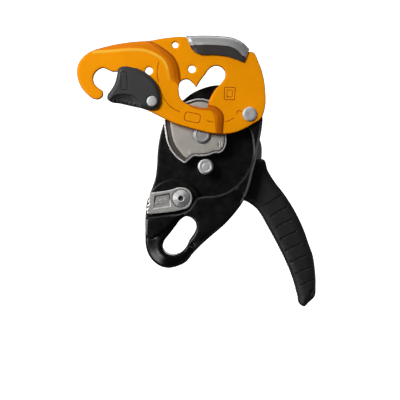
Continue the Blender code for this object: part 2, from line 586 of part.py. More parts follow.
stud = turned("handle_stop_stud", (40.0, 108.5), [(11.6, 1.5), (11.2, 1.9), (0.6, 1.9), (0.3, 1.6)], 20)
finish(stud, "steel")

# ---- pieces on the moving side plate
finish(turned("gate_rivet", GATE, [(-18.2, 2.0), (-25.3, 2.0), (-25.3, 4.15), (-25.8, 4.15), (-26.3, 3.4)],
              24, PIVOT), "steel", 30)
for number, centre in enumerate(CHANNEL_RIVETS, 1):
    finish(turned("channel_rivet_%d" % number, centre, [(-15.0, 1.2), (-20.5, 1.2)], 16, PIVOT), "wear")

# ---- springs and clutch around the cam
finish(coil("cam_spring", AXLE, 12.0, 0.7, -1.0, -4.8, 2.4, AXLE), "steel")
disc_points = []
for tooth in range(18):
    turn = 2 * math.pi * tooth / 18
    for shift, radius in ((0.0, 17.0), (0.10, 15.4), (0.20, 15.8)):
        angle = turn + shift
        disc_points.append((AXLE[0] + radius * math.cos(angle), AXLE[1] + radius * math.sin(angle)))
disc = loft("clutch_disc", [(7.4, disc_points), (4.5, disc_points)], AXLE)
cut_hole(disc, AXLE, 9.4, 12.0, 2.0, 26)
finish(disc, "steel")
finish(ring("clutch_washer", AXLE, 15.0, 9.6, 8.7, 7.7, 26, AXLE, 0.2), "bronze")

# ---- rear of the handle
cover = turned("rear_cover", AXLE, [(12.3, 22.0), (15.5, 22.0), (18.6, 19.4), (19.8, 15.5)], 30, AXLE)
combine(cover, "DIFFERENCE", turned("inside", AXLE, [(10.0, 12.4), (18.0, 12.4)], 24))
for number, centre in enumerate(COVER_SCREWS, 1):
    cut_hole(cover, centre, 1.3, 24.0, 10.0, 16)
    cut_hole(cover, centre, 2.6, 24.0, 16.2, 20)
    screw = turned("cover_screw_%d" % number, centre, [(17.9, 1.9), (17.6, 2.3), (16.5, 2.3), (16.5, 1.0),
                                                       (9.4, 1.0)], 14, AXLE)
    combine(screw, "DIFFERENCE", turned("socket", centre, [(20.0, 1.1), (17.0, 1.1)], 6))
    finish(screw, "steel")
finish(cover, "plastic", 30)
for number, centre in enumerate(GRIP_SCREWS, 1):
    screw = turned("grip_screw_%d" % number, centre, [(21.4, 2.6), (21.1, 3.0), (19.7, 3.0), (19.7, 1.5),
                                                      (7.0, 1.5)], 14, AXLE)
    combine(screw, "DIFFERENCE", turned("socket", centre, [(23.0, 1.4), (20.4, 1.4)], 6))
    finish(screw, "steel")
button = turned("handle_button", BUTTON, [(24.4, 3.6), (24.0, 4.4), (18.6, 4.4), (18.2, 4.9),
                                          (17.4, 4.9)], 22, BUTTON)
combine(button, "DIFFERENCE", turned("button_bore", BUTTON, [(18.7, 3.95), (16.4, 3.95)], 22))
finish(button, "plastic", 30)
finish(coil("button_spring", BUTTON, 3.4, 0.4, 16.8, 14.5, 2.2, AXLE), "steel")
finish(coil("gate_spring", GATE, 3.5, 0.25, -21.7, -23.0, 1.7, PIVOT), "steel")
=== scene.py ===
import json
import math

import bmesh
import bpy
import numpy as np
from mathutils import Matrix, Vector
from mathutils.geometry import delaunay_2d_cdt


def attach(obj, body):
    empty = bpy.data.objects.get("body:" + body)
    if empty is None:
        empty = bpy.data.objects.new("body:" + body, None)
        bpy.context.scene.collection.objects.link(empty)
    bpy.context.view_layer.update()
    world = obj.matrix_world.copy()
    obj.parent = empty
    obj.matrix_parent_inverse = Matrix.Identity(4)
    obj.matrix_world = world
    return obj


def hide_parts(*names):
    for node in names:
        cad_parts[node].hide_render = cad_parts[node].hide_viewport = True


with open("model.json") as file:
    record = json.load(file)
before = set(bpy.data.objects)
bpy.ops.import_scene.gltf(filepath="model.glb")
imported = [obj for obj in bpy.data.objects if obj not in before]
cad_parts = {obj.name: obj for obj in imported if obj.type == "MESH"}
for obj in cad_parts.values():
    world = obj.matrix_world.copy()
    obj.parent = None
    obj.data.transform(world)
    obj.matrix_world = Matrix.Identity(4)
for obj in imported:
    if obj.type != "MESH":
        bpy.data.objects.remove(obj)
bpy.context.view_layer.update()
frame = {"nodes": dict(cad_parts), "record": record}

MM = 0.001

# ---- axes of the pins, as (x, z)
PIVOT = (58.0, 103.1)
AXLE = (20.5, 86.9)
STOP = (23.4, 61.8)
CATCH = (3.9, 36.6)
GATE = (-18.6, 112.4)
STUD = (40.0, 108.5)
DIMPLE = (12.6, -0.6)
DIMPLE_RADIUS = 2.4

# ---- depths, front is the more negative value
PLATE_BACK = 4.0
PLATE_FRONT = 0.0
RIM_FRONT = -14.0
BODY_FRONT = -16.5
PAD_FRONT = -8.0
LOW_BACK = -14.6
LOW_FRONT = -18.0
HIGH_BACK = -17.7
HIGH_FRONT = -21.0
CAM_BACK = -1.0
CAM_FACE = -12.0
CAM_RIM = -13.5
HUB_BACK = 9.0
ARM_BACK = 12.0
GRIP_FRONT = 4.6
GRIP_BACK = 22.0
CATCH_FRONT = -14.4
RIVET_SEAT_FLOOR = -12.2
CATCH_SEAT_FLOOR = -5.0
GATE_FRONT = -25.0
GATE_LIP_BACK = -18.3
GATE_SEAT_FLOOR = -23.4
WEAR_FRONT = -18.5
CAM_PLATE_FRONT = -14.0
CAM_SPRING_FLOOR = -6.0
CAM_HUB_BACK = 8.0
BUTTON_WELL_FLOOR = 14.0
GRIP_WELL_FLOOR = 19.4
COVER_FRONT = 12.3
COVER_BOSS_FRONT = 18.0
COVER_BACK = 19.8
COVER_WELL_FLOOR = 16.2
OVERLAP = 0.3  # how far a piece is let into the one behind it

# ---- outlines, as (x, z); a third value marks a sharp corner
LOWER_EDGE = [
    (-25.6, 8.0), (-25.3, -1.0), (-23.4, -8.2), (-18.6, -14.9), (-12.9, -18.7), (-6.5, -20.0),
    (1.0, -18.4), (8.1, -14.6), (13.0, -8.4), (18.6, -2.5), (28.1, 6.1), (38.5, 15.0),
    (47.2, 24.6), (54.0, 34.0), (58.6, 45.0), (61.8, 57.5), (64.4, 68.0), (66.6, 80.0),
]
FRAME_OUTLINE = [
    (5.1, 116.5), (-3.0, 110.5), (-9.0, 101.5), (-13.0, 90.0), (-15.5, 75.0), (-16.2, 63.0),
    (-17.5, 53.0), (-21.2, 42.0), (-24.6, 31.0), (-25.6, 20.0), *LOWER_EDGE, (69.0, 92.0),
    (69.8, 103.0), (67.0, 114.5), (58.0, 122.5), (45.0, 127.5), (31.0, 128.6), (18.1, 125.0),
    (11.6, 121.6),
]
RIM_OUTLINE = [
    (52.0, 96.5, 1), (57.6, 91.0), (60.0, 82.0), (60.5, 72.0), (58.4, 62.7), (53.5, 54.4),
    (46.6, 47.0), (37.2, 41.3), (29.3, 39.4), (21.6, 39.0), (15.6, 36.9), (12.5, 32.4),
    (9.6, 28.4), (5.2, 26.1), (-8.1, 24.2), (-25.0, 22.2, 1), *LOWER_EDGE, (68.6, 91.0),
    (69.4, 101.0, 1),
]
PAD_OUTLINE = [
    (-24.0, 20.5, 1), (-24.2, 31.0), (-21.0, 41.6), (-14.0, 48.6), (-5.5, 52.0), (4.0, 51.4),
    (12.0, 47.2), (18.0, 40.0), (19.0, 34.0, 1), (8.0, 22.0, 1),
]
HOLE_OUTLINE = [
    (8.0, 22.3), (12.5, 20.8), (15.4, 17.4), (16.0, 13.2), (14.2, 8.4), (10.4, 2.8),
    (7.8, -2.6), (3.4, -7.0), (-2.6, -8.6), (-8.2, -7.0), (-11.2, -3.0), (-10.4, 1.6),
    (-6.2, 7.2), (-1.0, 14.0), (3.4, 19.6),
]
SIDE_OUTLINE = [
    (-57.5, 117.6), (-60.9, 114.6), (-65.2, 115.1), (-70.0, 118.6), (-74.9, 124.7),
    (-77.9, 133.8), (-76.9, 142.4), (-73.2, 147.8), (-67.4, 152.2), (-58.2, 155.5),
    (-45.6, 158.5), (-33.0, 160.3), (-20.4, 161.4), (-10.2, 163.2), (0.0, 164.3),
    (6.8, 164.6, 1), (9.4, 162.4, 1), (20.9, 163.0), (34.0, 162.5), (45.0, 160.9),
    (51.6, 157.4), (56.2, 152.6, 1), (60.4, 152.4), (65.4, 144.0), (69.0, 133.0),
    (70.6, 121.0), (70.4, 109.0), (67.2, 99.8), (60.4, 95.2), (52.3, 90.8), (46.4, 88.6),
    (40.6, 87.6), (29.9, 87.6), (19.7, 89.6), (7.9, 92.8), (-2.5, 96.1), (-13.0, 101.3),
    (-22.1, 105.7), (-27.2, 107.6, 1), (-26.4, 116.0), (-27.4, 124.0), (-30.0, 131.0),
    (-35.0, 136.0), (-41.0, 137.2), (-46.7, 136.4), (-50.4, 136.5), (-53.3, 137.8),
    (-57.4, 139.3), (-62.4, 136.8), (-65.1, 131.9), (-64.6, 127.6), (-61.4, 123.8),
    (-57.6, 120.9),
]
RAISED_TOP = [
    (-82.0, 146.0), (-67.5, 151.6), (-50.0, 153.2), (-33.0, 154.3), (-24.6, 153.7),
    (-15.7, 150.2), (-9.4, 145.6), (-6.6, 140.0), (-5.4, 134.0), (-4.0, 129.2), (0.6, 126.2),
    (11.0, 112.6), (25.2, 107.6), (28.4, 103.4), (31.0, 88.0), (33.0, 80.0), (-30.0, 80.0),
    (-100.0, 90.0), (-100.0, 140.0),
]
RAISED_FOOT = [
    (-86.0, 152.0), (-67.5, 156.5), (-48.0, 160.6), (-33.0, 162.2), (-19.4, 160.4),
    (-9.6, 155.2), (-1.4, 148.2), (2.2, 140.8), (3.4, 134.4), (3.9, 130.4), (6.4, 128.0),
    (14.0, 113.0), (33.0, 108.4), (36.3, 105.2), (37.4, 88.4), (38.4, 80.0), (-30.0, 76.0),
    (-104.0, 86.0), (-104.0, 143.0),
]
WINDOW_OUTLINE = [
    (2.6, 119.6), (2.5, 125.3), (3.6, 128.4), (6.0, 130.2), (9.0, 130.6), (12.3, 128.4),
    (16.0, 124.2, 1), (19.3, 129.6), (23.6, 135.2), (25.4, 137.8), (28.0, 140.2), (32.0, 141.4),
    (35.9, 140.0), (38.5, 136.6), (38.4, 132.4), (35.6, 128.0), (31.1, 123.4), (27.8, 118.3),
    (25.8, 113.6), (24.4, 108.0, 1), (18.7, 108.5), (12.1, 110.1), (6.4, 112.7), (3.6, 115.9),
]
CHANNEL_OUTLINE = [
    (7.7, 165.2, 1), (20.9, 165.7), (34.0, 165.3), (45.7, 163.7), (53.2, 159.9),
    (58.2, 154.8, 1), (53.6, 143.6, 1), (47.3, 146.2), (39.4, 148.6), (28.8, 149.8),
    (18.8, 150.0), (14.6, 152.0),
]
GATE_OUTLINE = [
    (-45.3, 138.2, 1), (-42.1, 139.9), (-35.1, 139.4), (-25.7, 136.4), (-18.6, 130.8),
    (-13.9, 124.2), (-12.1, 116.6), (-12.5, 110.8), (-14.7, 107.2), (-17.9, 106.0),
    (-23.3, 106.5), (-33.5, 108.6), (-43.7, 110.9), (-51.6, 112.5), (-53.6, 114.2),
    (-53.6, 117.4), (-51.4, 120.7), (-48.4, 125.5), (-46.4, 132.0),
]
GATE_LIP = [
    (-53.2, 114.4), (-52.6, 117.6), (-50.0, 121.2), (-48.4, 123.4), (-45.8, 121.8),
    (-44.2, 117.0), (-44.6, 112.4), (-49.4, 112.8),
]
CAM_OUTLINE = [
    (-8.2, 105.0), (-9.6, 99.4), (-8.8, 89.4), (-6.6, 79.4), (-1.8, 71.4), (3.5, 66.6),
    (6.8, 64.8), (10.1, 67.4), (13.4, 70.1), (18.9, 70.3), (25.3, 70.9), (30.6, 72.7),
    (35.0, 73.0), (37.8, 75.2), (39.6, 79.6), (39.8, 87.3), (38.0, 99.5), (33.0, 109.0),
    (25.3, 115.0), (16.4, 116.0), (8.1, 113.6), (-1.0, 110.4),
]
CAM_PLATE_OUTLINE = [
    (-3.4, 103.6), (-4.6, 98.6), (-3.8, 89.6), (-1.8, 81.4), (2.4, 74.4), (6.0, 70.4),
    (8.4, 68.6), (12.2, 71.6), (18.7, 72.1), (25.0, 72.7), (30.2, 74.5), (34.4, 74.9),
    (36.2, 76.4), (37.8, 80.4), (38.0, 87.3), (36.2, 98.6), (31.6, 107.2), (24.6, 112.6),
    (16.6, 113.4), (8.8, 111.0), (1.6, 108.2),
]
CATCH_OUTLINE = [
    (-20.6, 40.9, 1), (-2.0, 44.1), (1.4, 45.2), (6.4, 44.9), (10.7, 42.6), (12.5, 38.5),
    (12.2, 33.6), (9.4, 29.2), (4.4, 27.6), (-20.5, 24.0, 1), (-23.4, 25.0), (-22.6, 33.0),
    (-21.8, 40.0),
]
CATCH_POCKET = [(-17.2, 38.6, 1), (-5.2, 40.9, 1), (-4.2, 29.9, 1), (-18.6, 27.8, 1)]
GRIP_SPINE = [
    (99.8, -44.8), (96.8, -33.6), (92.7, -22.0), (87.6, -10.6), (82.3, -0.2), (77.2, 9.2),
    (71.9, 18.8), (66.4, 27.6),
]
GRIP_OUTLINE = [
    (71.2, 68.8), (74.8, 59.6), (80.1, 50.8), (88.0, 40.6), (93.7, 32.0), (99.9, 20.9),
    (104.8, 9.8), (108.4, -0.6), (111.6, -9.6), (113.6, -22.0), (114.2, -35.0), (113.2, -44.2),
    (108.6, -48.8), (104.2, -52.4), (101.8, -51.2), *GRIP_SPINE, (59.6, 33.0), (52.0, 37.0),
    (48.6, 45.0), (51.0, 54.0), (58.0, 62.0), (65.0, 68.4),
]
ARM_OUTLINE = [
    (30.5, 65.5), (44.0, 56.0), (52.6, 44.0), (58.6, 38.0), (66.0, 31.6), (72.0, 23.6),
    (78.4, 12.6), (84.0, 8.4), (90.0, 12.2), (90.6, 19.6), (85.4, 30.4), (78.4, 42.4),
    (72.4, 52.4), (68.8, 60.4), (69.8, 70.6), (69.6, 80.6), (64.4, 92.6), (54.0, 104.0),
    (42.0, 109.6), (26.0, 112.4), (9.6, 110.0), (-1.6, 100.0), (-5.0, 86.0), (0.4, 73.0),
    (13.0, 64.2),
]
HANDLE_SWING = 80
BUTTON = (60.0, 48.0)
GRIP_SCREWS = [(69.0, 41.0), (84.0, 17.0)]
CHANNEL_RIVETS = [(22.0, 155.0), (44.0, 152.4)]


# ---- drawing helpers
def area(points):
    """Area inside a closed outline, positive when it runs anticlockwise."""
    total = 0.0
    for here, after in zip(points, points[1:] + points[:1]):
        total += here[0] * after[1] - after[0] * here[1]
    return total / 2


def smooth(outline, step=0.8, closed=True):
    """A curve through the outline, with sharp corners where a point is marked."""
    places = [Vector(p[:2]) for p in outline]
    sharp = [len(p) > 2 for p in outline]
    count = len(places)

    def direction(index, leaving):
        before, here, after = places[index - 1], places[index], places[(index + 1) % count]
        if not closed and index == 0:
            return (after - here).normalized()
        if not closed and index == count - 1:
            return (here - before).normalized()
        if sharp[index]:
            return ((after - here) if leaving else (here - before)).normalized()
        back, ahead = (here - before).length, (after - here).length
        return ((here - before) / back * ahead + (after - here) / ahead * back) / (back + ahead)

    result = []
    for index in range(count if closed else count - 1):
        start, end = places[index], places[(index + 1) % count]
        length = (end - start).length
        leave, arrive = direction(index, True) * length, direction((index + 1) % count, False) * length
        pieces = max(1, round(length / step))
        for piece in range(pieces):
            t = piece / pieces
            result.append(tuple(
                (2 * t ** 3 - 3 * t * t + 1) * start + (t ** 3 - 2 * t * t + t) * leave
                + (3 * t * t - 2 * t ** 3) * end + (t ** 3 - t * t) * arrive))
    if not closed:
        return result + [tuple(places[-1])]
    return result if area(result) > 0 else result[::-1]


def circle(centre, radius, count=48):
    """A closed ring of evenly spread points."""
    turns = [2 * math.pi * i / count for i in range(count)]
    return [(centre[0] + radius * math.cos(a), centre[1] + radius * math.sin(a)) for a in turns]


def polar(centre, radius, angle):
    """The point of a circle at this angle, in degrees."""
    angle = math.radians(angle)
    return centre[0] + radius * math.cos(angle), centre[1] + radius * math.sin(angle)


def arc(centre, radius, start, end, count=14):
    """Points along part of a circle, both ends included; angles in degrees."""
    return [polar(centre, radius, start + (end - start) * i / count) for i in range(count + 1)]


def rounded_box(centre, width, height, tilt, radius):
    """A rectangle with rounded corners, turned by tilt degrees."""
    points = []
    for index in range(4):
        side, up = (1, 1, -1, -1)[index], (-1, 1, 1, -1)[index]
        middle = (side * (width / 2 - radius), up * (height / 2 - radius))
        points += arc(middle, radius, 90 * index - 90, 90 * index, 5)
    cosine, sine = math.cos(math.radians(tilt)), math.sin(math.radians(tilt))
    corners = [(centre[0] + x * cosine - z * sine, centre[1] + x * sine + z * cosine) for x, z in points]
    return smooth([(x, z, 1) for x, z in corners], 0.7)


def offset(points, out):
    """A closed outline moved outwards, or inwards where out is negative."""
    moved = []
    count = len(points)
    for index in range(count):
        before, here, after = (Vector(points[k % count]) for k in (index - 1, index, index + 1))
        first, second = (here - before).normalized(), (after - here).normalized()
        bisector = Vector((first.y + second.y, -first.x - second.x)).normalized()
        stretch = max(0.6, bisector.dot(Vector((first.y, -first.x))))
        moved.append(tuple(here + bisector * out / stretch))
    return moved


def beside(path, shift):
    """The open path moved sideways."""
    moved = []
    for index, here in enumerate(path):
        near, far = path[max(index - 1, 0)], path[min(index + 1, len(path) - 1)]
        along = Vector((far[0] - near[0], far[1] - near[1])).normalized()
        moved.append((here[0] - along.y * shift, here[1] + along.x * shift))
    return moved


def distance(points, path, closed=False):
    """Distance from each point to a polyline."""
    points = np.asarray(points, float)
    path = np.asarray(path, float)
    starts, ends = (path, np.roll(path, -1, axis=0)) if closed else (path[:-1], path[1:])
    best = np.full(len(points), 1e9)
    for a, b in zip(starts, ends):
        along = b - a
        t = np.clip(((points - a) @ along) / max(along @ along, 1e-12), 0, 1)
        gap = points - a - t[:, None] * along
        best = np.minimum(best, gap[:, 0] ** 2 + gap[:, 1] ** 2)
    return np.sqrt(best)


def nearest(points, paths, closed=False):
    """Distance from each point to the nearest of the paths."""
    return np.min([distance(points, path, closed) for path in paths], axis=0)


def inside(points, outline):
    """Which of the points lie inside a closed outline."""
    points = np.asarray(points, float)
    hit = np.zeros(len(points), bool)
    x, z = points[:, 0], points[:, 1]
    for (ax, az), (bx, bz) in zip(outline, outline[1:] + outline[:1]):
        if az == bz:
            continue
        hit ^= ((az > z) != (bz > z)) & (x < (bx - ax) * (z - az) / (bz - az) + ax)
    return hit


def signed(points, outline):
    """Distance to a closed outline, negative inside it."""
    gap = distance(points, outline, True)
    return np.where(inside(points, outline), -gap, gap)


def away_from(centre, points):
    """Distance from each point to one spot."""
    return np.hypot(points[:, 0] - centre[0], points[:, 1] - centre[1])


def ease(t):
    """A smooth rise from 0 to 1."""
    t = np.clip(t, 0, 1)
    return t * t * (3 - 2 * t)


def dome(share):
    """How far a quarter circle has fallen at this share of its width."""
    return 1 - np.sqrt(np.clip(1 - np.clip(share, 0, 1) ** 2, 0, 1))


def drilled(y, points, wells, floor):
    """Heights with every well cut, or filled, to its floor."""
    for well in wells:
        y = np.where(signed(points, well) < 0, floor, y)
    return y


def level_at(y):
    """A face of a relief that stays at one depth."""
    return lambda points, depth: np.full(len(points), y)


def fillet(depth, radius):
    """How far a rounded edge falls away at this depth inside the edge."""
    left = np.clip(radius - depth, 0, radius)
    return radius - np.sqrt(np.maximum(radius * radius - left * left, 0))


def turn(radius, angles=(28, 50, 70, 90)):
    """Depths at which a rounded edge of this radius gets a ring of points."""
    return [radius * (1 - math.cos(math.radians(a))) for a in angles]


WALL = 0.3  # width of the slope of a step's wall
LIP = 0.03
STEP = [WALL, -LIP]  # rings on both sides of a wall
KEEP_OFF = 0.93  # share of its shift a moved ring keeps from its outline
ROW_HEIGHT = 0.87  # of a triangle of the free points, in spacings


def raised(outline, radius):
    """Contours for a step up inside the outline, its top edge rounded."""
    return [(outline, STEP + [-d for d in turn(radius)])]


def sunk(outline, radius):
    """Contours for a step down into the outline, its top edge rounded."""
    return [(outline, [-WALL, LIP] + turn(radius))]


def raise_to(y, points, outline, level, radius):
    """Front heights lifted to the level inside the outline."""
    gap = signed(points, outline)
    return np.where(gap < 0, np.minimum(y, level + fillet(-gap, radius)), y)


def sink_to(y, points, outline, level, radius):
    """Front heights lowered to the level inside the outline, with a rounded top edge."""
    gap = signed(points, outline)
    around = np.where(gap < radius, fillet(np.maximum(gap, 0), radius), 0)
    return np.where(gap < -WALL * 0.6, np.maximum(y, level), y + around)


def relief(name, outer, holes, front, back, spacing, contours=(), lines=(), radius=0.8, sharp=40):
    """A closed plate whose front and back heights, in millimetres, are functions of (x, z)."""
    def in_sheet(points):
        good = inside(points, outer)
        for hole in holes:
            good &= ~inside(points, hole)
        return good

    loops = [outer] + [hole[::-1] for hole in holes]
    chains = []
    for loop in loops:
        for step in turn(radius):
            chains.append((offset(loop, -step), True, loop, step * KEEP_OFF))
    for paths, closed, moved in ((contours, True, offset), (lines, False, beside)):
        for path, shifts in paths:
            for shift in shifts:
                chain = moved(path, shift) if shift else path
                chains.append((chain, closed, path, abs(shift) * KEEP_OFF))
    verts, edges, free = [], [], []
    for loop in loops:
        start = len(verts)
        verts += loop
        edges += [(start + k, start + (k + 1) % len(loop)) for k in range(len(loop))]
    least = turn(radius)[0] * 0.9
    for chain, closed, source, gap in chains:
        good = in_sheet(chain) & (distance(chain, source, closed) >= gap)
        good &= nearest(chain, loops, True) > least
        start = len(verts)
        number = np.cumsum(good) - 1
        verts += [p for p, g in zip(chain, good) if g]
        count = len(chain)
        for k in range(count if closed else count - 1):
            after = (k + 1) % count
            if good[k] and good[after]:
                edges.append((start + int(number[k]), start + int(number[after])))
    low, high = np.min(np.array(outer), axis=0), np.max(np.array(outer), axis=0)
    cells = {}
    for x, z in verts:
        cells.setdefault((int(x // spacing), int(z // spacing)), []).append((x, z))
    for row in range(int((high[1] - low[1]) / (spacing * ROW_HEIGHT)) + 2):
        z = low[1] + row * spacing * ROW_HEIGHT
        shift = spacing / 2 if row % 2 else 0.0
        for step in range(int((high[0] - low[0]) / spacing) + 2):
            x = low[0] + shift + step * spacing
            column, line = int(x // spacing), int(z // spacing)
            near = [p for c in (-1, 0, 1) for r in (-1, 0, 1)
                    for p in cells.get((column + c, line + r), ())]
            if all((a - x) ** 2 + (b - z) ** 2 > (spacing * 0.5) ** 2 for a, b in near):
                free.append((x, z))
    if free:
        verts += [p for p, g in zip(free, in_sheet(free)) if g]
    flat, _, faces, *_ = delaunay_2d_cdt([Vector(p) for p in verts], edges, [], 0, 1e-5)
    flat = np.array([tuple(v) for v in flat])
    faces = np.array([f for f in faces if len(f) == 3])
    corners = flat[faces]
    keep = in_sheet(corners.mean(axis=1))
    first, second = corners[:, 1] - corners[:, 0], corners[:, 2] - corners[:, 0]
    size = first[:, 0] * second[:, 1] - first[:, 1] * second[:, 0]
    faces[size < 0] = faces[size < 0][:, ::-1]
    faces = faces[keep & (np.abs(size) > 1e-9)]
    depth = nearest(flat, [outer] + holes, True)
    fall = fillet(depth, radius)
    y_front, y_back = front(flat, depth) + fall, back(flat, depth) - fall
    y_back = np.maximum(y_back, y_front + 0.05)
    count = len(flat)
    places = np.zeros((2 * count, 3))
    places[:count, 0] = places[count:, 0] = flat[:, 0]
    places[:count, 2] = places[count:, 2] = flat[:, 1]
    places[:count, 1], places[count:, 1] = y_front, y_back
    border = dict.fromkeys(edge for a, b, c in faces.tolist() for edge in ((a, b), (b, c), (c, a)))
    polygons = faces.tolist() + (faces[:, ::-1] + count).tolist()
    polygons += [(b, a, a + count, b + count) for a, b in border if (b, a) not in border]
    mesh = bpy.data.meshes.new(name)
    mesh.from_pydata((places * MM).tolist(), [], polygons)
    clean = bmesh.new()
    clean.from_mesh(mesh)
    bmesh.ops.delete(clean, geom=[v for v in clean.verts if not v.link_faces], context="VERTS")
    bmesh.ops.recalc_face_normals(clean, faces=clean.faces)
    clean.to_mesh(mesh)
    clean.free()
    return shade(mesh, sharp)


def shade(mesh, angle=40):
    """Smooth shading, with edges sharper than the angle kept."""
    mesh.polygons.foreach_set("use_smooth", [True] * len(mesh.polygons))
    mesh.set_sharp_from_angle(angle=math.radians(angle))
    return mesh


def lathe(name, centre, corner, profile, count=72):
    """A turned piece: profile holds (y, radius) from back to front, its corners then rounded."""
    shape = bmesh.new()
    rows = []
    for y, radius in rounded(profile, corner):
        spots = circle(centre, radius, count) if radius > 1e-6 else [centre]
        rows.append([shape.verts.new((x * MM, y * MM, z * MM)) for x, z in spots])
    for lower, upper in zip(rows, rows[1:]):
        for index in range(count):
            after = (index + 1) % count
            face = [lower[after % len(lower)], lower[index % len(lower)],
                    upper[index % len(upper)], upper[after % len(upper)]]
            shape.faces.new(list(dict.fromkeys(face)))
    bmesh.ops.recalc_face_normals(shape, faces=shape.faces)
    mesh = bpy.data.meshes.new(name)
    shape.to_mesh(mesh)
    shape.free()
    return shade(mesh)


def rounded(points, radius, steps=4):
    """Replaces each inner corner of a profile by a small arc; the ends stay."""
    result = [points[0]]
    for before, here, after in zip(points, points[1:], points[2:]):
        a, b, c = Vector(before), Vector(here), Vector(after)
        size = min(radius, (a - b).length * 0.45, (c - b).length * 0.45)
        start, end = b + (a - b).normalized() * size, b + (c - b).normalized() * size
        for step in range(steps + 1):
            t = step / steps
            result.append(tuple((1 - t) ** 2 * start + 2 * t * (1 - t) * b + t * t * end))
    return result + [points[-1]]


def add(name, data):
    """A new object in the scene."""
    made = bpy.data.objects.new(name, data)
    bpy.context.scene.collection.objects.link(made)
    return made


def place(name, mesh, body, surface, finish, *nodes):
    """Puts a piece in the scene, riding on its body, in place of its CAD nodes."""
    piece = add(name, mesh)
    mesh.materials.append(surface)
    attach(piece, body)
    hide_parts(*nodes)
    return piece


def forge(name, body, finish, slot, nodes, *shape, **options):
    """A relief placed in the scene as a piece."""
    return place(name, relief(name, *shape, **options), body, finish, slot, *nodes)


# ---- materials
BUMP_HEIGHT = 0.0002


def put(node, values):
    """Sets input values of a shader node."""
    for socket, value in values.items():
        node.inputs[socket].default_value = value


def surface(name, colour, rough, metal, grain=0.05, grain_scale=900.0, speckle=0.04, wear=None,
            blotch=0.08, brushed=None, spread=0.06, specular=0.5):
    """Fine-grained surface with uneven roughness, grain bump and lighter edges, partly wear and partly a
    painted highlight.
    """
    made = bpy.data.materials.new(name)
    made.use_nodes = True
    nodes, links = made.node_tree.nodes, made.node_tree.links
    shader = nodes["Principled BSDF"]
    place_node = nodes.new("ShaderNodeTexCoord")
    put(shader, {"Metallic": metal, "Specular IOR Level": specular})

    def noise(scale, detail, stretch=None):
        texture = nodes.new("ShaderNodeTexNoise")
        put(texture, {"Scale": scale, "Detail": detail})
        source = place_node.outputs["Object"]
        if stretch:
            mapping = nodes.new("ShaderNodeMapping")
            put(mapping, {"Scale": stretch})
            links.new(source, mapping.inputs["Vector"])
            source = mapping.outputs["Vector"]
        links.new(source, texture.inputs["Vector"])
        return texture.outputs["Fac"]

    def ramp(source, low, high, from_low=0.3, from_high=0.7):
        node = nodes.new("ShaderNodeMapRange")
        put(node, {"From Min": from_low, "From Max": from_high, "To Min": low, "To Max": high})
        links.new(source, node.inputs["Value"])
        return node.outputs["Result"]

    def blend(mode, *values):
        node = nodes.new("ShaderNodeMix")
        node.data_type = "RGBA"
        node.blend_type = mode
        sockets = (node.inputs[0], node.inputs[6], node.inputs[7])
        for socket, value in zip(sockets, values):
            if isinstance(value, bpy.types.NodeSocket):
                links.new(value, socket)
            else:
                socket.default_value = value if isinstance(value, float) else (*value, 1.0)
        return node.outputs[2]

    def sum_of(operation, first, second):
        node = nodes.new("ShaderNodeMath")
        node.operation = operation
        links.new(first, node.inputs[0])
        links.new(second, node.inputs[1])
        return node.outputs["Value"]

    fine = noise(grain_scale, 3.0)
    broad = noise(38.0, 4.0)
    streak = noise(260.0, 3.0, brushed) if brushed else noise(150.0, 5.0)
    dark = tuple(c * (1 - blotch) for c in colour)
    light = tuple(min(1.0, c * (1 + blotch)) for c in colour)
    tone = blend("MIX", ramp(broad, 0.0, 1.0), dark, light)
    specks = blend("MIX", ramp(fine, 0.0, 1.0), (1 - speckle,) * 3, (1.0,) * 3)
    tone = blend("MULTIPLY", 1.0, tone, specks)
    # wear: lighter convex edges, partly edge wear and partly a painted highlight along the edges
    if wear:
        edges = ramp(nodes.new("ShaderNodeNewGeometry").outputs["Pointiness"], 0.0, 1.0, 0.53, 0.60)
        tone = blend("MIX", sum_of("MULTIPLY", edges, ramp(streak, 0.1, 0.9)), tone, wear)
    links.new(tone, shader.inputs["Base Color"])
    uneven = sum_of("ADD", ramp(streak, rough - spread, rough + spread), ramp(fine, -0.03, 0.03))
    links.new(uneven, shader.inputs["Roughness"])
    bump = nodes.new("ShaderNodeBump")
    put(bump, {"Strength": grain, "Distance": BUMP_HEIGHT})
    links.new(streak if brushed else fine, bump.inputs["Height"])
    links.new(bump.outputs["Normal"], shader.inputs["Normal"])
    return made


ANODISED = dict(grain=0.10, grain_scale=2600.0)
BENT = dict(ANODISED, speckle=0.06, blotch=0.05, specular=0.10)
BLACK = dict(grain=0.06, grain_scale=2200.0, speckle=0.15, blotch=0.12)
MOULDED = dict(grain=0.25, grain_scale=1500.0, speckle=0.20, specular=0.35)
TURNED = dict(grain=0.10, grain_scale=1400.0, speckle=0.08, blotch=0.06)
ROUGH_CAST = dict(grain_scale=1500.0, blotch=0.06)
DRAWN = dict(grain=0.12, grain_scale=1200.0, brushed=(1.0, 1.0, 12.0))

gold = surface("anodised_gold", (0.95, 0.328, 0.0005), 0.44, 0.16, **ANODISED,
               speckle=0.06, wear=(1.0, 0.46, 0.03), blotch=0.03, specular=0.04)
# painted shade: a darker, redder gold for the bend, standing in for the shade and dark reflection on the
# slope
bend_shade = surface("gold_bend_painted_shade", (0.80, 0.218, 0.0005), 0.44, 0.12, **BENT)
# painted shade: darker gold towards the foot of the bend, where the slope is steepest
fold_shade = surface("gold_fold_painted_shade", (0.64, 0.158, 0.0005), 0.44, 0.12, **BENT)
# painted shade: the darkest gold, for the band at the bend's foot and for the rounded front edges
crease_shade = surface("gold_crease_painted_shade", (0.46, 0.100, 0.0005), 0.46, 0.12, **BENT)
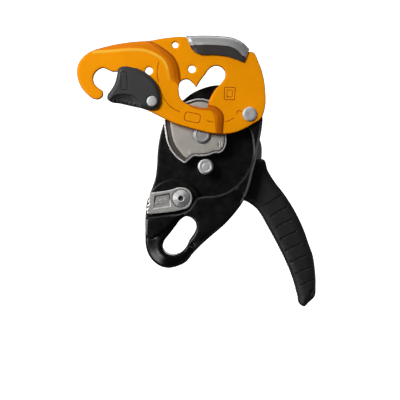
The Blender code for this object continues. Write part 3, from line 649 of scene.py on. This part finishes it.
# painted highlight: lighter gold along the crest of the raised half
crest_highlight = surface("gold_crest_painted_highlight", (1.0, 0.370, 0.004), 0.42, 0.15, **ANODISED,
                     blotch=0.03, specular=0.15)
# painted highlight: the brightest line along the crest
crest_glint = surface("gold_crest_painted_glint", (1.0, 0.500, 0.030), 0.42, 0.15, **ANODISED,
                      blotch=0.03, specular=0.20)
# painted shade for the floors of the engraved lines
gold_shade = surface("gold_engraving_painted_shade", (0.42, 0.080, 0.0005), 0.55, 0.20, **ANODISED,
                     speckle=0.10, blotch=0.06, specular=0.2)
black = surface("anodised_black", (0.0013, 0.0013, 0.0014), 0.29, 0.0, **BLACK,
                wear=(0.040, 0.040, 0.042), specular=0.33)
# painted highlight: a lighter black for the chamfer beside the rope groove, standing in for the light it
# catches
black_chamfer_highlight = surface("black_chamfer_painted_highlight", (0.020, 0.020, 0.021), 0.30, 0.2, **BLACK, specular=0.40)
plastic = surface("moulded_black", (0.0075, 0.0075, 0.0080), 0.52, 0.0, **MOULDED,
                  wear=(0.020, 0.020, 0.022), blotch=0.10)
gate_plastic = surface("moulded_charcoal", (0.026, 0.026, 0.028), 0.50, 0.0, **MOULDED,
                       wear=(0.060, 0.060, 0.064))
steel = surface("turned_steel", (0.52, 0.52, 0.525), 0.44, 0.55, **TURNED, wear=(0.66, 0.66, 0.67))
dark_steel = surface("turned_steel_dark", (0.37, 0.365, 0.36), 0.44, 0.55, **TURNED,
                     wear=(0.55, 0.55, 0.55))
cast = surface("cast_steel", (0.44, 0.43, 0.41), 0.44, 0.60, **ROUGH_CAST, grain=0.35,
               speckle=0.16, wear=(0.85, 0.84, 0.82))
# bright: painted highlight on the cam's rim, the lower wall of the catch's pocket and the catch's front
# edge
bright = surface("steel_painted_highlight", (0.85, 0.84, 0.82), 0.30, 0.60, grain=0.10, grain_scale=1500.0,
                 speckle=0.05)
cam_steel = surface("cam_steel", (0.46, 0.43, 0.39), 0.48, 0.60, **ROUGH_CAST, grain=0.30,
                    speckle=0.14, wear=(0.80, 0.79, 0.77))
# groove: painted shade for recesses, namely the cam's face inside its rim, the upper wall of the catch's
# pocket and the catch rivet's socket
groove = surface("steel_painted_shade", (0.075, 0.058, 0.050), 0.55, 0.2, grain=0.30, grain_scale=1500.0,
                 speckle=0.20, blotch=0.15)
wear_steel = surface("wear_steel", (0.46, 0.46, 0.455), 0.40, 0.75, **DRAWN, speckle=0.08)
# painted dark reflection: a near-black steel for the flank below the wear edge's top
flange_dark_reflection = surface("channel_flange_painted_reflection", (0.060, 0.053, 0.050), 0.36, 0.50, **DRAWN,
                       speckle=0.10, blotch=0.12)
bronze = surface("bronze", (0.55, 0.38, 0.16), 0.35, 1.0, grain=0.1)
FINISH_OF_SLOT = {"anodised_black": black, "anodised_gold": gold, "wear_steel": wear_steel,
                  "cast_steel": cast, "bright_steel": steel, "bronze": bronze, "black_plastic": plastic}
BACKWARD = 0.3  # faces that turn back further than this are never tinted


def tint(piece, finish, chosen):
    """Gives a second surface to front faces, chosen by the (x, z) and y of their centres; in this scene
    each second surface is a painted shade, a painted highlight or a painted dark reflection.
    """
    mesh = piece.data
    mesh.materials.append(finish)
    centres = np.array([tuple(face.center) for face in mesh.polygons]) / MM
    number = len(mesh.materials) - 1
    for face, hit in zip(mesh.polygons, chosen(centres[:, [0, 2]], centres[:, 1])):
        if hit and face.normal.y < BACKWARD:
            face.material_index = number


# ---- fixed frame: plate, rim, lower body, catch pad and pivot boss
BODY_EXTENT = [
    (-30.0, 32.0, 1), (-30.0, 6.8, 1), (-22.4, 5.2), (-19.0, 4.4), (-14.2, 6.8), (-7.2, 12.0), (-1.6, 17.4),
    (2.4, 21.4), (5.6, 22.8, 1), (9.0, 17.0, 1), (7.6, 4.0, 1), (7.0, 0.4, 1), (9.6, -1.6), (11.4, -3.6),
    (13.6, -4.0), (16.8, -2.0), (22.6, 3.6), (28.4, 8.6), (34.6, 12.8), (44.0, 15.5, 1), (62.0, 26.0, 1),
    (62.0, 33.0, 1), (42.0, 53.0, 1), (14.0, 46.0, 1), (6.0, 34.0, 1),
]


def stretches(outline, shifts, within):
    """The parts of a moved outline that lie well inside another one, as open paths."""
    parts = []
    for shift in shifts:
        ring = offset(outline, shift)
        good = (signed(ring, within) < -0.4) & (distance(ring, outline, True) >= abs(shift) * KEEP_OFF)
        first = next(k for k in range(len(ring)) if good[k] and not good[k - 1])
        runs = [[]]
        for k in range(first, first + len(ring)):
            if good[k % len(ring)]:
                runs[-1].append(ring[k % len(ring)])
            else:
                runs.append([])
        parts += [(run, [0]) for run in runs if len(run) > 1]
    return parts


frame_edge = smooth(FRAME_OUTLINE)
rim = offset(smooth(RIM_OUTLINE), -0.9)
corner = min(range(len(rim)), key=lambda k: math.dist(rim[k], (-24.2, 21.4)))
groove_edge, outer_edge = rim[:corner + 1], rim[corner:]
body = smooth(BODY_EXTENT, 0.9)
pad = smooth(PAD_OUTLINE)
eye = smooth(HOLE_OUTLINE)
boss = circle(PIVOT, 9.0, 64)
catch_seat = circle(CATCH, 6.7, 48)
dimple = circle(DIMPLE, DIMPLE_RADIUS, 28)


def frame_front(points, depth):
    x, z = points[:, 0], points[:, 1]
    y = np.full(len(points), PLATE_FRONT)
    y = raise_to(y, points, pad, PAD_FRONT, 1.0)
    y = raise_to(y, points, boss, RIM_FRONT, 1.0)
    gap = -signed(points, body)
    share = ease(gap / (1.7 + 7.0 * ease((x - 38.0) / 8.0)))
    level = RIM_FRONT + (BODY_FRONT - RIM_FRONT) * share
    lobe = ease((24.0 - z) / 10.0) * ease((24.0 - x) / 8.0) * (1 - share)
    edge = distance(points, frame_edge, True)
    hole = np.maximum(signed(points, eye), 0)
    level = level + lobe * (4.2 * (1 - ease(edge / 13.0)) + 0.7 * (1 - ease(hole / 3.0)))
    level = level + 0.9 * (1 - ease(hole / 1.3))
    level = level + 1.3 * (1 - np.clip(distance(points, groove_edge) / 1.3, 0, 1))
    level = level + 2.0 * (1 - np.clip(distance(points, outer_edge) / 1.8, 0, 1))
    y = np.where(signed(points, rim) < 0, np.minimum(y, level), y)
    y = sink_to(y, points, catch_seat, CATCH_SEAT_FLOOR, 0.4)
    return y + 2.2 * (1 - ease(away_from(DIMPLE, points) / DIMPLE_RADIUS))


def frame_back(points, depth):
    return PLATE_BACK - 0.8 * (1 - ease(distance(points, eye, True) / 2.2))


frame_piece = forge(
    "frame_forging", "frame", black, "anodised_black", ["fixed_frame"], frame_edge,
    [eye, circle(AXLE, 9.6, 60), circle(PIVOT, 4.3, 40), circle(STOP, 3.3, 32), circle(CATCH, 2.8, 28),
     circle(STUD, 2.3, 24)],
    frame_front, frame_back, 1.7,
    raised(pad, 1.0) + raised(boss, 1.0) + sunk(catch_seat, 0.4)
    + [(rim, STEP), (dimple, [0, -0.6, -1.2, -1.8]), (eye, [0.5, 0.9, 1.35])],
    [(groove_edge, [1.15, 1.3, 1.45]), (outer_edge, [1.65, 1.8, 1.95])]
    + stretches(body, [0.1, -0.3, -0.85, -1.4, -1.8], rim))
# painted highlight on the rim's chamfer along the rope groove
tint(frame_piece, black_chamfer_highlight, lambda flat, y: (distance(flat, groove_edge) < 1.35)
     & (signed(flat, rim) < 0) & (y < RIM_FRONT + 2.5) & (flat[:, 0] > -5.0))

# ---- moving side plate: bent sheet with a raised hook half, engraved generic marks
plate = smooth(SIDE_OUTLINE)
top_edge = smooth(RAISED_TOP, 1.2)
foot_edge = smooth(RAISED_FOOT, 1.2)
window = offset(smooth(WINDOW_OUTLINE), 0.2)
SMALL_HOLES = [((-0.6, 157.9), 2.4), ((12.6, 138.8), 3.0), ((-21.2, 137.0), 3.0)]
MARKS = [smooth(path, closed=False) for path in (
    [(-11.0, 118.6), (-8.6, 113.9), (-3.9, 108.4), (3.2, 104.4)],
    [(24.4, 98.2), (26.6, 96.8), (29.1, 96.6)],
    [(38.6, 96.9), (42.0, 98.0), (45.7, 100.0)],
    [(48.0, 103.8), (48.9, 105.6), (50.6, 106.0), (52.0, 105.0)],
    [(-13.5, 143.6), (-14.6, 139.0), (-14.6, 133.0), (-13.6, 128.0)])]
BADGE = rounded_box((13.0, 100.2), 12.4, 7.0, -12.0, 2.2)
PANEL = rounded_box((42.4, 119.4), 8.2, 9.8, -3.0, 0.9)
INNER_PANEL = rounded_box((42.4, 119.4), 4.2, 5.4, -3.0, 0.5)
FRAMES = [BADGE, PANEL, INNER_PANEL]


def step_share(points):
    """1 on the raised half of the sheet, 0 on the low half, between them on the bend."""
    below = np.maximum(-signed(points, foot_edge), 0)
    above = np.maximum(signed(points, top_edge), 0)
    down = above / np.maximum(below + above, 1e-6)
    return 1 - 0.35 * down - 0.65 * down ** 2


ENGRAVED = (0.35, 0.34)  # depth and half width


def engrave(y, points, paths, depth, width, closed=False):
    """Front heights with a soft groove along each of the paths."""
    for path in paths:
        y = y + depth * (1 - ease(distance(points, path, closed) / width))
    return y


def plate_front(points, depth):
    y = LOW_FRONT + (HIGH_FRONT - LOW_FRONT) * step_share(points)
    y = engrave(y, points, MARKS, *ENGRAVED)
    return engrave(y, points, FRAMES, *ENGRAVED, closed=True)


def plate_back(points, depth):
    return LOW_BACK + (HIGH_BACK - LOW_BACK) * step_share(points)


LINE = [0, 0.18, -0.18, 0.36, -0.36]
ON_SHEET = LOW_FRONT + 1.0
plate_piece = forge(
    "side_plate_forging", "side_plate", gold, "anodised_gold", ["moving_side_plate"], plate,
    [window, circle(PIVOT, 4.3, 40), circle(GATE, 2.3, 28)]
    + [circle(c, r, 36) for c, r in SMALL_HOLES] + [circle(c, 1.5, 20) for c in CHANNEL_RIVETS],
    plate_front, plate_back, 2.0,
    [(top_edge, [-2.2, -1.6, -0.6, 0.0, 0.6, 1.4, 2.6, 4.0]),
     (foot_edge, [0.4, 0.0, -0.8, -1.8, -3.2, -5.0])] + [(path, LINE) for path in FRAMES],
    [(path, LINE) for path in MARKS])


def in_marks(flat, y):
    """Picks the floors of the engraved lines, which get a painted shade."""
    near = np.minimum(nearest(flat, MARKS), nearest(flat, FRAMES, True))
    return (near < 0.28) & (y < ON_SHEET)


def on_bend(flat, y):
    """Picks the front of the bend."""
    return (y < ON_SHEET) & (signed(flat, top_edge) > 0.6) & (signed(flat, foot_edge) < -0.3)


def near_foot(outer, inner):
    """Picks a band of the bend beside its foot, where it is steepest."""
    def chosen(flat, y):
        gap = signed(flat, foot_edge)
        taper = ease((flat[:, 0] + 30.0) / 24.0)
        return (gap > inner * taper) & (gap < outer) & (y < ON_SHEET) & (taper > 0.05)
    return chosen


def along_edges(flat, y):
    """Picks the rounded front edge of the sheet and of its window."""
    return (nearest(flat, [plate, window], True) < 0.6) & (y < LOW_BACK)


def crest(inner, outer, lowest):
    """Picks a band of the front along the upper edge of the raised half."""
    def chosen(flat, y):
        gap = signed(flat, top_edge)
        x, z = flat[:, 0], flat[:, 1]
        return (gap > inner) & (gap < outer) & (y < LOW_FRONT) & (z > lowest) & (x > -66)
    return chosen


# painted light on the sheet's front: shade on the bend, deeper shade at its foot and on the rounded edges,
# highlight along the crest, shade in the engraved lines
for finish, chosen in (
        (bend_shade, on_bend), (fold_shade, near_foot(-0.2, -5.0)), (crease_shade, near_foot(-0.2, -1.8)),
        (crease_shade, along_edges), (crest_highlight, crest(-2.2, 0.6, 130.0)),
        (crest_glint, crest(-1.6, 0.0, 138.0)), (gold_shade, in_marks)):
    tint(plate_piece, finish, chosen)

# ---- steel wear edge on top of the side plate
channel = smooth(CHANNEL_OUTLINE, 0.7)
channel_top = smooth(CHANNEL_OUTLINE[:6], 0.7, False)
channel_low = smooth(CHANNEL_OUTLINE[6:], 0.7, False)
channel_left = [CHANNEL_OUTLINE[11][:2], CHANNEL_OUTLINE[0][:2]]
channel_right = [CHANNEL_OUTLINE[5][:2], CHANNEL_OUTLINE[6][:2]]
plate_gap = offset(plate, 0.3)
FOLD = 8.2  # width of the sloping flank below the top edge


def channel_front(points, depth):
    up = 1 - np.clip(distance(points, channel_top) / FOLD, 0, 1)
    rise = 2.3 - 1.2 * up - 1.0 * up ** 3 - 2.2 * up ** 12
    rise = np.minimum(rise, 1.3 + 1.0 * distance(points, channel_low) / FOLD)
    rise = np.minimum(rise, 0.5 + 1.8 * distance(points, channel_left) / 2.0)
    rise = np.minimum(rise, 0.8 + 1.5 * distance(points, channel_right) / 1.2)
    return WEAR_FRONT - rise


def channel_back(points, depth):
    return np.where(signed(points, plate_gap) < 0.05, LOW_FRONT - OVERLAP, LOW_BACK)


channel_piece = forge(
    "wear_edge", "side_plate", wear_steel, "wear_steel",
    ["wear_channel", "channel_rivet_1", "channel_rivet_2"],
    channel, [], channel_front, channel_back, 1.4,
    [(plate_gap, [LIP, WALL])],
    [(channel_top, [-0.4, -0.8, -1.4, -2.4, -4.0, -6.0, -7.9, -FOLD, -8.5])], radius=0.35, sharp=28)
# painted dark reflection on the flank below the top edge
tint(channel_piece, flange_dark_reflection,
     lambda flat, y: (distance(flat, channel_top) > FOLD) & (y < LOW_FRONT))

# ---- safety gate on the hook
gate = smooth(GATE_OUTLINE, 0.7)
gate_lip = smooth(GATE_LIP, 0.7)
scallop = smooth([
    (-52.0, 111.8), (-50.4, 114.3), (-49.1, 115.9), (-46.4, 117.3), (-42.2, 118.1), (-38.0, 117.9),
    (-33.6, 116.7), (-30.2, 113.9), (-28.4, 111.1), (-28.0, 108.6), (-31.0, 105.0), (-50.0, 107.0)], 0.7)
gate_panel = rounded_box((-40.5, 128.4), 4.6, 13.8, 3.0, 0.8)
GATE_SEAT = 4.6
gate_seat = circle(GATE, GATE_SEAT, 40)


def gate_front(points, depth):
    y = GATE_FRONT + (1 - ease(depth / 2.8))
    y = engrave(y, points, [gate_panel], 0.35, 0.42, closed=True)
    gap = signed(points, scallop)
    dish = 0.35 + 0.5 * ease(-gap / 0.5) + 1.2 * ease(-gap / 4.0)
    y = y + np.where(gap < 0, dish, 0.35 * (1 - ease(gap / 0.4)))
    along = (points[:, 0] + 52.0) * 0.976 - (points[:, 1] - 112.6) * 0.216
    across = points[:, 1] - (112.9 - 0.222 * (points[:, 0] + 52.0))
    tooth = np.maximum(np.cos(2 * math.pi * along / 3.2), 0) ** 1.5
    inner = ease((1.9 - np.abs(across - 0.5)) / 1.0) * ease(along / 2.0) * ease((21.5 - along) / 2.0)
    return y - np.where(gap < 0, tooth * inner * 1.3, 0)


def gate_back(points, depth):
    y = drilled(HIGH_FRONT - OVERLAP, points, [gate_lip], GATE_LIP_BACK)
    return np.where(away_from(GATE, points) < GATE_SEAT, GATE_SEAT_FLOOR, y)


forge(
    "gate_moulding", "gate", gate_plastic, "black_plastic", ["safety_gate"],
    gate, [circle(GATE, 2.3, 28)], gate_front, gate_back, 0.9,
    [(gate_lip, [0.25, -LIP]), (gate_panel, LINE), (scallop, [0.4, 0, -0.5, -1.4, -2.6, -4.0]),
     (gate_seat, [0.25, -LIP])],
    radius=0.9)

# ---- cam: hooked body with a thin rim, face plate set into it
cam = smooth(CAM_OUTLINE, 0.7)
cam_inner = offset(cam, -1.3)


def cam_front(points, depth):
    return np.where(signed(points, cam_inner) < 0.08, CAM_FACE, CAM_RIM)


def cam_back(points, depth):
    away = away_from(AXLE, points)
    y = np.where((away > 9.95) & (away < 14.05), CAM_SPRING_FLOOR, CAM_BACK)
    return np.where(away < 9.05, CAM_HUB_BACK - 3.6 * ease((away - 7.5) / 1.5), y)


CAM_BORE = circle(AXLE, 6.8, 48)
CAM_RINGS = (7.6, 8.4, 9.0, 9.25, 9.7, 9.9, 10.15, 13.85, 14.1, 14.35)
cam_piece = forge(
    "cam_forging", "cam", cam_steel, "cast_steel", ["cam_body"],
    cam, [CAM_BORE], cam_front, cam_back, 2.0,
    [(cam_inner, [0.15, 0.02])] + [(circle(AXLE, r, 60), [0]) for r in CAM_RINGS],
    radius=0.35)
cam_shelf = offset(cam, -1.2)
# painted shade on the cam's recessed face inside the rim, painted highlight on the rim
tint(cam_piece, groove, lambda flat, y: (y < -11.0) & (signed(flat, cam_shelf) < 0))
tint(cam_piece, bright, lambda flat, y: (y < -12.6) & (signed(flat, cam_shelf) >= 0))

cam_plate = smooth(CAM_PLATE_OUTLINE, 0.7)
TICKS = [[(34.0, 80.6), (34.2, 78.4)], [(35.5, 80.4), (35.7, 78.2)]]


def cam_plate_front(points, depth):
    return engrave(np.full(len(points), CAM_PLATE_FRONT), points, TICKS, 0.25, 0.35)


forge(
    "cam_face", "cam", cam_steel, "cast_steel", ["cam_face_plate"],
    cam_plate, [CAM_BORE], cam_plate_front, level_at(CAM_FACE - OVERLAP), 2.0,
    [], [(path, [0, 0.2, -0.2, 0.36, -0.36]) for path in TICKS], radius=0.5)

# ---- sprung catch with a toothed nose
TEETH = 5
NOSE_FOOT, NOSE_HEIGHT, NOSE_X = 24.4, 16.0, -19.4
catch_edge = []
for x, z in smooth(CATCH_OUTLINE, 0.45):
    along = (z - NOSE_FOOT) / NOSE_HEIGHT
    nose = ease((NOSE_X - x) / 2.0) if 0.02 < along < 0.98 else 0.0
    catch_edge.append((x + nose * 1.1 * (0.5 - 0.5 * math.cos(2 * math.pi * along * TEETH)) ** 1.5, z))
catch_pocket = smooth(CATCH_POCKET, 0.7)
rivet_seat = circle(CATCH, 7.3, 60)


def above_middle(points):
    """Height above the centre line of the pocket, which leans a little."""
    return points[:, 1] - 34.2 - 0.17 * (points[:, 0] + 11.3)


def catch_front(points, depth):
    gap = signed(points, catch_pocket)
    y = CATCH_FRONT + np.where(gap < 0, 1.3 * ease(-gap / 0.9), 0.0)
    ridge = np.abs(np.abs(above_middle(points)) - 0.9)
    y = y - np.where(gap < -1.4, 0.35 * (1 - ease(ridge / 0.4)) * ease((-gap - 1.4) / 0.6), 0)
    return sink_to(y, points, rivet_seat, RIVET_SEAT_FLOOR, 0.3)


catch_piece = forge(
    "catch_casting", "catch", cast, "cast_steel", ["anti_error_catch"],
    catch_edge, [circle(CATCH, 3.1, 32)], catch_front, level_at(PAD_FRONT - OVERLAP), 0.9,
    [(catch_pocket, [0.15, 0, -0.3, -0.6, -0.9, -1.5])] + sunk(rivet_seat, 0.3), radius=0.6)


def pocket_wall(side):
    """Picks the pocket's wall above (1) or below (-1) the catch's own centre line."""
    def chosen(flat, y):
        gap = signed(flat, catch_pocket)
        return (gap > -0.9) & (gap < 0.1) & (y < POCKET_TOP) & (side * above_middle(flat) > 0.5)
    return chosen


POCKET_TOP, POCKET_LINES = -12.9, -13.9
# painted light on the catch: shade on the pocket's floor and upper wall, highlight on its lower wall and
# along the front edge
tint(catch_piece, dark_steel, lambda flat, y: (signed(flat, catch_pocket) < -0.3)
     & (y < POCKET_TOP) & (y > POCKET_LINES))
tint(catch_piece, groove, pocket_wall(1))
tint(catch_piece, bright, pocket_wall(-1))
tint(catch_piece, bright, lambda flat, y: (distance(flat, catch_edge, True) < 0.6) & (y < -13.2))

# ---- handle: curved grip over a steel arm
grip_edge = []
walked = 0.0
last = None
for x, z in smooth(GRIP_OUTLINE, 0.5):
    walked += math.hypot(x - last[0], z - last[1]) if last else 0.0
    last = (x, z)
    grip_edge.append((x, z, walked))
SPINE = smooth(GRIP_SPINE[::-1], 0.5, False)
TOOTH = 2.6
serrated = []
for index, (x, z, run) in enumerate(grip_edge):
    near = distance([(x, z)], SPINE)[0] < 0.6 and z < 24
    ahead = grip_edge[(index + 1) % len(grip_edge)]
    before = grip_edge[index - 1]
    along = Vector((ahead[0] - before[0], ahead[1] - before[1])).normalized()
    bite = 0.45 * (run / TOOTH - math.floor(run / TOOTH)) if near else 0.0
    serrated.append((x - along.y * bite, z + along.x * bite))
GROOVES = []
for index in range(8):
    along = index / 7
    left = (73.0 + 28.4 * along, 31.4 - 66.0 * along)
    right = (86.4 + 26.4 * along, 39.4 - 69.6 * along)
    crown = ((left[0] + right[0]) / 2, (left[1] + right[1]) / 2 + 0.5)
    GROOVES.append(smooth([left, crown, right], 0.7, False))
tip_pocket = smooth([(108.0, -40.6), (111.2, -37.4), (111.6, -41.4), (109.4, -44.0)], 0.6)
button_well = circle(BUTTON, 5.3, 40)
screw_wells = [circle(c, 3.4, 36) for c in GRIP_SCREWS]


def grip_front(points, depth):
    y = GRIP_FRONT + 4.5 * dome(1 - depth / 7.5) * 0.75
    y = y + 0.75 * (1 - ease(nearest(points, GROOVES) / 0.75))
    return y + np.where(signed(points, tip_pocket) < 0, 1.6 * ease(-signed(points, tip_pocket) / 1.2), 0)


def grip_back(points, depth):
    y = GRIP_BACK - 4.2 * dome(1 - depth / 6.5)
    y = drilled(y, points, [button_well], BUTTON_WELL_FLOOR)
    return drilled(y, points, screw_wells, GRIP_WELL_FLOOR)


grip_rings = [(serrated, [-1.6, -2.4, -3.4, -4.6, -6.0, -7.4]), (button_well, STEP),
              (tip_pocket, [0, -0.5, -1.1])]
forge(
    "grip_moulding", "handle", plastic, "black_plastic", ["handle_grip"],
    serrated, [], grip_front, grip_back, 1.5,
    grip_rings + [(well, STEP) for well in screw_wells],
    [(path, [0, 0.35, -0.35, 0.75, -0.75]) for path in GROOVES], radius=1.0)

COVER_SCREWS = [polar(AXLE, 17.5, angle) for angle in (150, 225, 300)]
cover_holes = [circle(c, 1.3, 20) for c in COVER_SCREWS]
arm = smooth(ARM_OUTLINE, 1.0)
SLOT = 2.5
reach = math.hypot(STUD[0] - AXLE[0], STUD[1] - AXLE[1])
start = math.degrees(math.atan2(STUD[1] - AXLE[1], STUD[0] - AXLE[0]))
end = start - HANDLE_SWING
stop_place = polar(AXLE, reach, end)
arm_slot = (arc(AXLE, reach + SLOT, start, end, 60)[:-1] + arc(stop_place, SLOT, end, end - 180, 12)[:-1]
            + arc(AXLE, reach - SLOT, end, start, 56)[:-1] + arc(STUD, SLOT, start + 180, start, 12)[:-1])
arm_slot = arm_slot if area(arm_slot) > 0 else arm_slot[::-1]
forge(
    "arm_plate", "handle", steel, "bright_steel", ["handle_arm"],
    arm, [circle(AXLE, 8.1, 56), arm_slot] + [circle(c, 1.9, 24) for c in GRIP_SCREWS]
    + cover_holes,
    level_at(HUB_BACK), level_at(ARM_BACK), 3.0, radius=0.5)

# ---- rear hub cover
cover = circle(AXLE, 22.0, 110)
cover_wells = [circle(c, 2.6, 32) for c in COVER_SCREWS]
COVER_RINGS = (7.7, 8.2, 9.6, 10.5, 11.4, 12.35, 12.6, 15.0, 17.5, 19.5, 20.6, 21.3)


def cover_front(points, depth):
    return np.where(away_from(AXLE, points) < 12.45, COVER_BOSS_FRONT, COVER_FRONT)


def cover_back(points, depth):
    away = away_from(AXLE, points)
    y = COVER_BACK - 3.4 * dome((away - 12.5) / 9.5)
    y = y - 0.5 * ease((8.2 - away) / 0.5) + 0.3 * ease((1.0 - np.abs(away - 10.5)) / 0.8)
    return drilled(y, points, cover_wells, COVER_WELL_FLOOR)


forge(
    "rear_cover_moulding", "handle", plastic, "black_plastic", ["rear_cover"],
    cover, cover_holes, cover_front, cover_back, 2.0,
    [(circle(AXLE, r, 90), [0]) for r in COVER_RINGS] + [(well, STEP) for well in cover_wells])

# ---- pins, rivets and screws
def head(name, centre, corner, profile, body, node, finish=steel, slot="bright_steel"):
    """A turned pin or rivet in place of its CAD node."""
    return place(name, lathe(name, centre, corner, profile), body, finish, slot, node)


head("axle_head", AXLE, 0.3, [
    (17.2, 0.0), (17.2, 4.6), (16.6, 5.0), (-14.2, 5.0), (-14.2, 6.9), (-14.4, 6.9), (-14.5, 6.2),
    (-16.5, 6.1), (-17.2, 5.2), (-17.05, 3.9), (-17.15, 0.0)],
    "frame", "cam_axle", dark_steel)
head("stop_pin_head", STOP, 0.22, [
    (4.0, 0.0), (4.0, 3.0), (-13.3, 3.0), (-13.4, 6.1), (-14.3, 6.1), (-14.5, 5.5), (-16.7, 5.4),
    (-17.2, 4.9), (-17.15, 4.0), (-16.9, 3.8), (-16.9, 2.6), (-17.0, 2.3), (-17.0, 0.0)],
    "frame", "stop_pin")
head("pivot_rivet", PIVOT, 0.4, [
    (4.2, 0.0), (4.2, 3.4), (3.8, 4.0), (-18.3, 4.0), (-18.3, 5.75), (-19.3, 5.75), (-20.1, 4.7),
    (-20.1, 2.2), (-19.95, 0.0)],
    "frame", "pivot_post")
catch_rivet = head("catch_rivet_head", CATCH, 0.25, [
    (3.8, 0.0), (3.8, 2.3), (-12.5, 2.3), (-12.5, 6.95), (-14.2, 6.95), (-14.6, 6.6), (-16.5, 3.7),
    (-17.2, 3.0), (-17.2, 2.3), (-16.7, 1.9), (-14.4, 1.8), (-14.4, 0.0)],
    "frame", "catch_rivet")
# painted shade inside the rivet head's socket
tint(catch_rivet, groove,
     lambda flat, y: (away_from(CATCH, flat) < 1.95) & (y > -16.4) & (y < -13.0))
head("gate_rivet_head", GATE, 0.3, [
    (-18.2, 0.0), (-18.2, 2.0), (-25.3, 2.0), (-25.3, 4.15), (-25.8, 4.15), (-26.25, 3.3), (-26.3, 0.0)],
    "side_plate", "gate_rivet")
SCREWS = (
    ("cover_screw", COVER_SCREWS, [
        (9.4, 0.0), (9.4, 1.0), (16.5, 1.0), (16.5, 2.3), (17.6, 2.3), (17.9, 1.8), (17.9, 1.2),
        (17.0, 1.1), (17.0, 0.0)]),
    ("grip_screw", GRIP_SCREWS, [
        (7.0, 0.0), (7.0, 1.5), (19.7, 1.5), (19.7, 3.0), (21.1, 3.0), (21.4, 2.5), (21.4, 1.5),
        (20.4, 1.4), (20.4, 0.0)]))
for kind, centres, profile in SCREWS:
    for number, centre in enumerate(centres, 1):
        place("%s_head_%d" % (kind, number), lathe(kind + "_head", centre, 0.15, profile, 36),
              "handle", steel, "bright_steel", "%s_%d" % (kind, number))
head("release_button", BUTTON, 0.35, [
    (19.3, 0.0), (19.3, 3.95), (17.4, 3.95), (17.4, 4.9), (18.2, 4.9), (18.6, 4.4), (23.9, 4.4),
    (24.4, 3.6), (24.15, 2.4), (24.0, 0.0)],
    "button", "handle_button", plastic, "black_plastic")

# ---- the carried-over CAD nodes take a finished material
for entry in frame["record"]["subparts"]:
    node = frame["nodes"][entry["node"]]
    for slot in node.material_slots:
        slot.material = FINISH_OF_SLOT[entry["material_slot"]]

# ---- plain studio: pale sweep well below the hanging part, soft lights, camera
WHITE = (1.0, 1.0, 1.0, 1.0)
FLOOR_Z, BEND, BEND_Y = -0.34, 0.8, 1.0
sweep = [(-1.6, FLOOR_Z), (BEND_Y, FLOOR_Z)]
for angle in map(math.radians, range(9, 91, 9)):
    sweep.append((BEND_Y + BEND * math.sin(angle), 0.46 - BEND * math.cos(angle)))
sweep += [(1.8, 2.4)]
stage = bpy.data.meshes.new("studio_floor")
corners = [(x, y, z) for y, z in sweep for x in (-2.6, 2.6)]
strips = [(2 * i, 2 * i + 1, 2 * i + 3, 2 * i + 2) for i in range(len(sweep) - 1)]
stage.from_pydata(corners, [], strips)
shade(stage, 60)
floor = add("studio_floor", stage)
paper = bpy.data.materials.new("studio_paper")
paper.use_nodes = True
put(paper.node_tree.nodes["Principled BSDF"], {
    "Base Color": (0.92, 0.92, 0.92, 1.0), "Roughness": 0.9,
    "Emission Color": WHITE, "Emission Strength": 0.85})
stage.materials.append(paper)
floor.visible_glossy = False
floor.visible_diffuse = False

world = bpy.data.worlds.new("studio")
bpy.context.scene.world = world
world.use_nodes = True
nodes, links = world.node_tree.nodes, world.node_tree.links
nodes.clear()
output = nodes.new("ShaderNodeOutputWorld")
mix = nodes.new("ShaderNodeMixShader")
links.new(nodes.new("ShaderNodeLightPath").outputs["Is Camera Ray"], mix.inputs[0])
for port, strength in ((2, 1.0), (1, 0.07)):  # the camera sees white, the part a dim glow
    backdrop = nodes.new("ShaderNodeBackground")
    put(backdrop, {"Color": WHITE, "Strength": strength})
    links.new(backdrop.outputs[0], mix.inputs[port])
links.new(mix.outputs[0], output.inputs["Surface"])

AIM = Vector((0.019, 0.0, 0.06))
for name, spot, width, height, power in (
        ("key", (-1.90, -2.80, 1.22), 1.35, 1.35, 111.0),
        ("top", (0.00, -0.35, 1.40), 1.3, 0.5, 5.5),
        ("left", (-1.30, 0.00, 0.10), 1.2, 0.5, 9.0),
        ("right", (1.25, 0.22, -0.20), 1.0, 0.5, 2.5),
        ("low_left", (-0.95, -1.10, -0.85), 0.7, 0.7, 14.0),
        ("back", (0.20, 1.20, 0.70), 0.9, 0.9, 7.0)):
    lamp = bpy.data.lights.new(name, "AREA")
    lamp.shape = "RECTANGLE"
    lamp.size, lamp.size_y, lamp.energy = width, height, power
    holder = add(name, lamp)
    holder.location = spot
    holder.rotation_euler = (AIM - Vector(spot)).to_track_quat("-Z", "Y").to_euler()
    holder.visible_camera = False

lens = bpy.data.cameras.new("view")
lens.lens, lens.sensor_width = 72.0, 36.0
camera = add("view", lens)
camera.location = (0.0189, -0.650, 0.0353)
camera.rotation_euler = (math.radians(90.0), 0.0, 0.0)
bpy.context.scene.camera = camera
bpy.context.scene.view_settings.view_transform = "Standard"
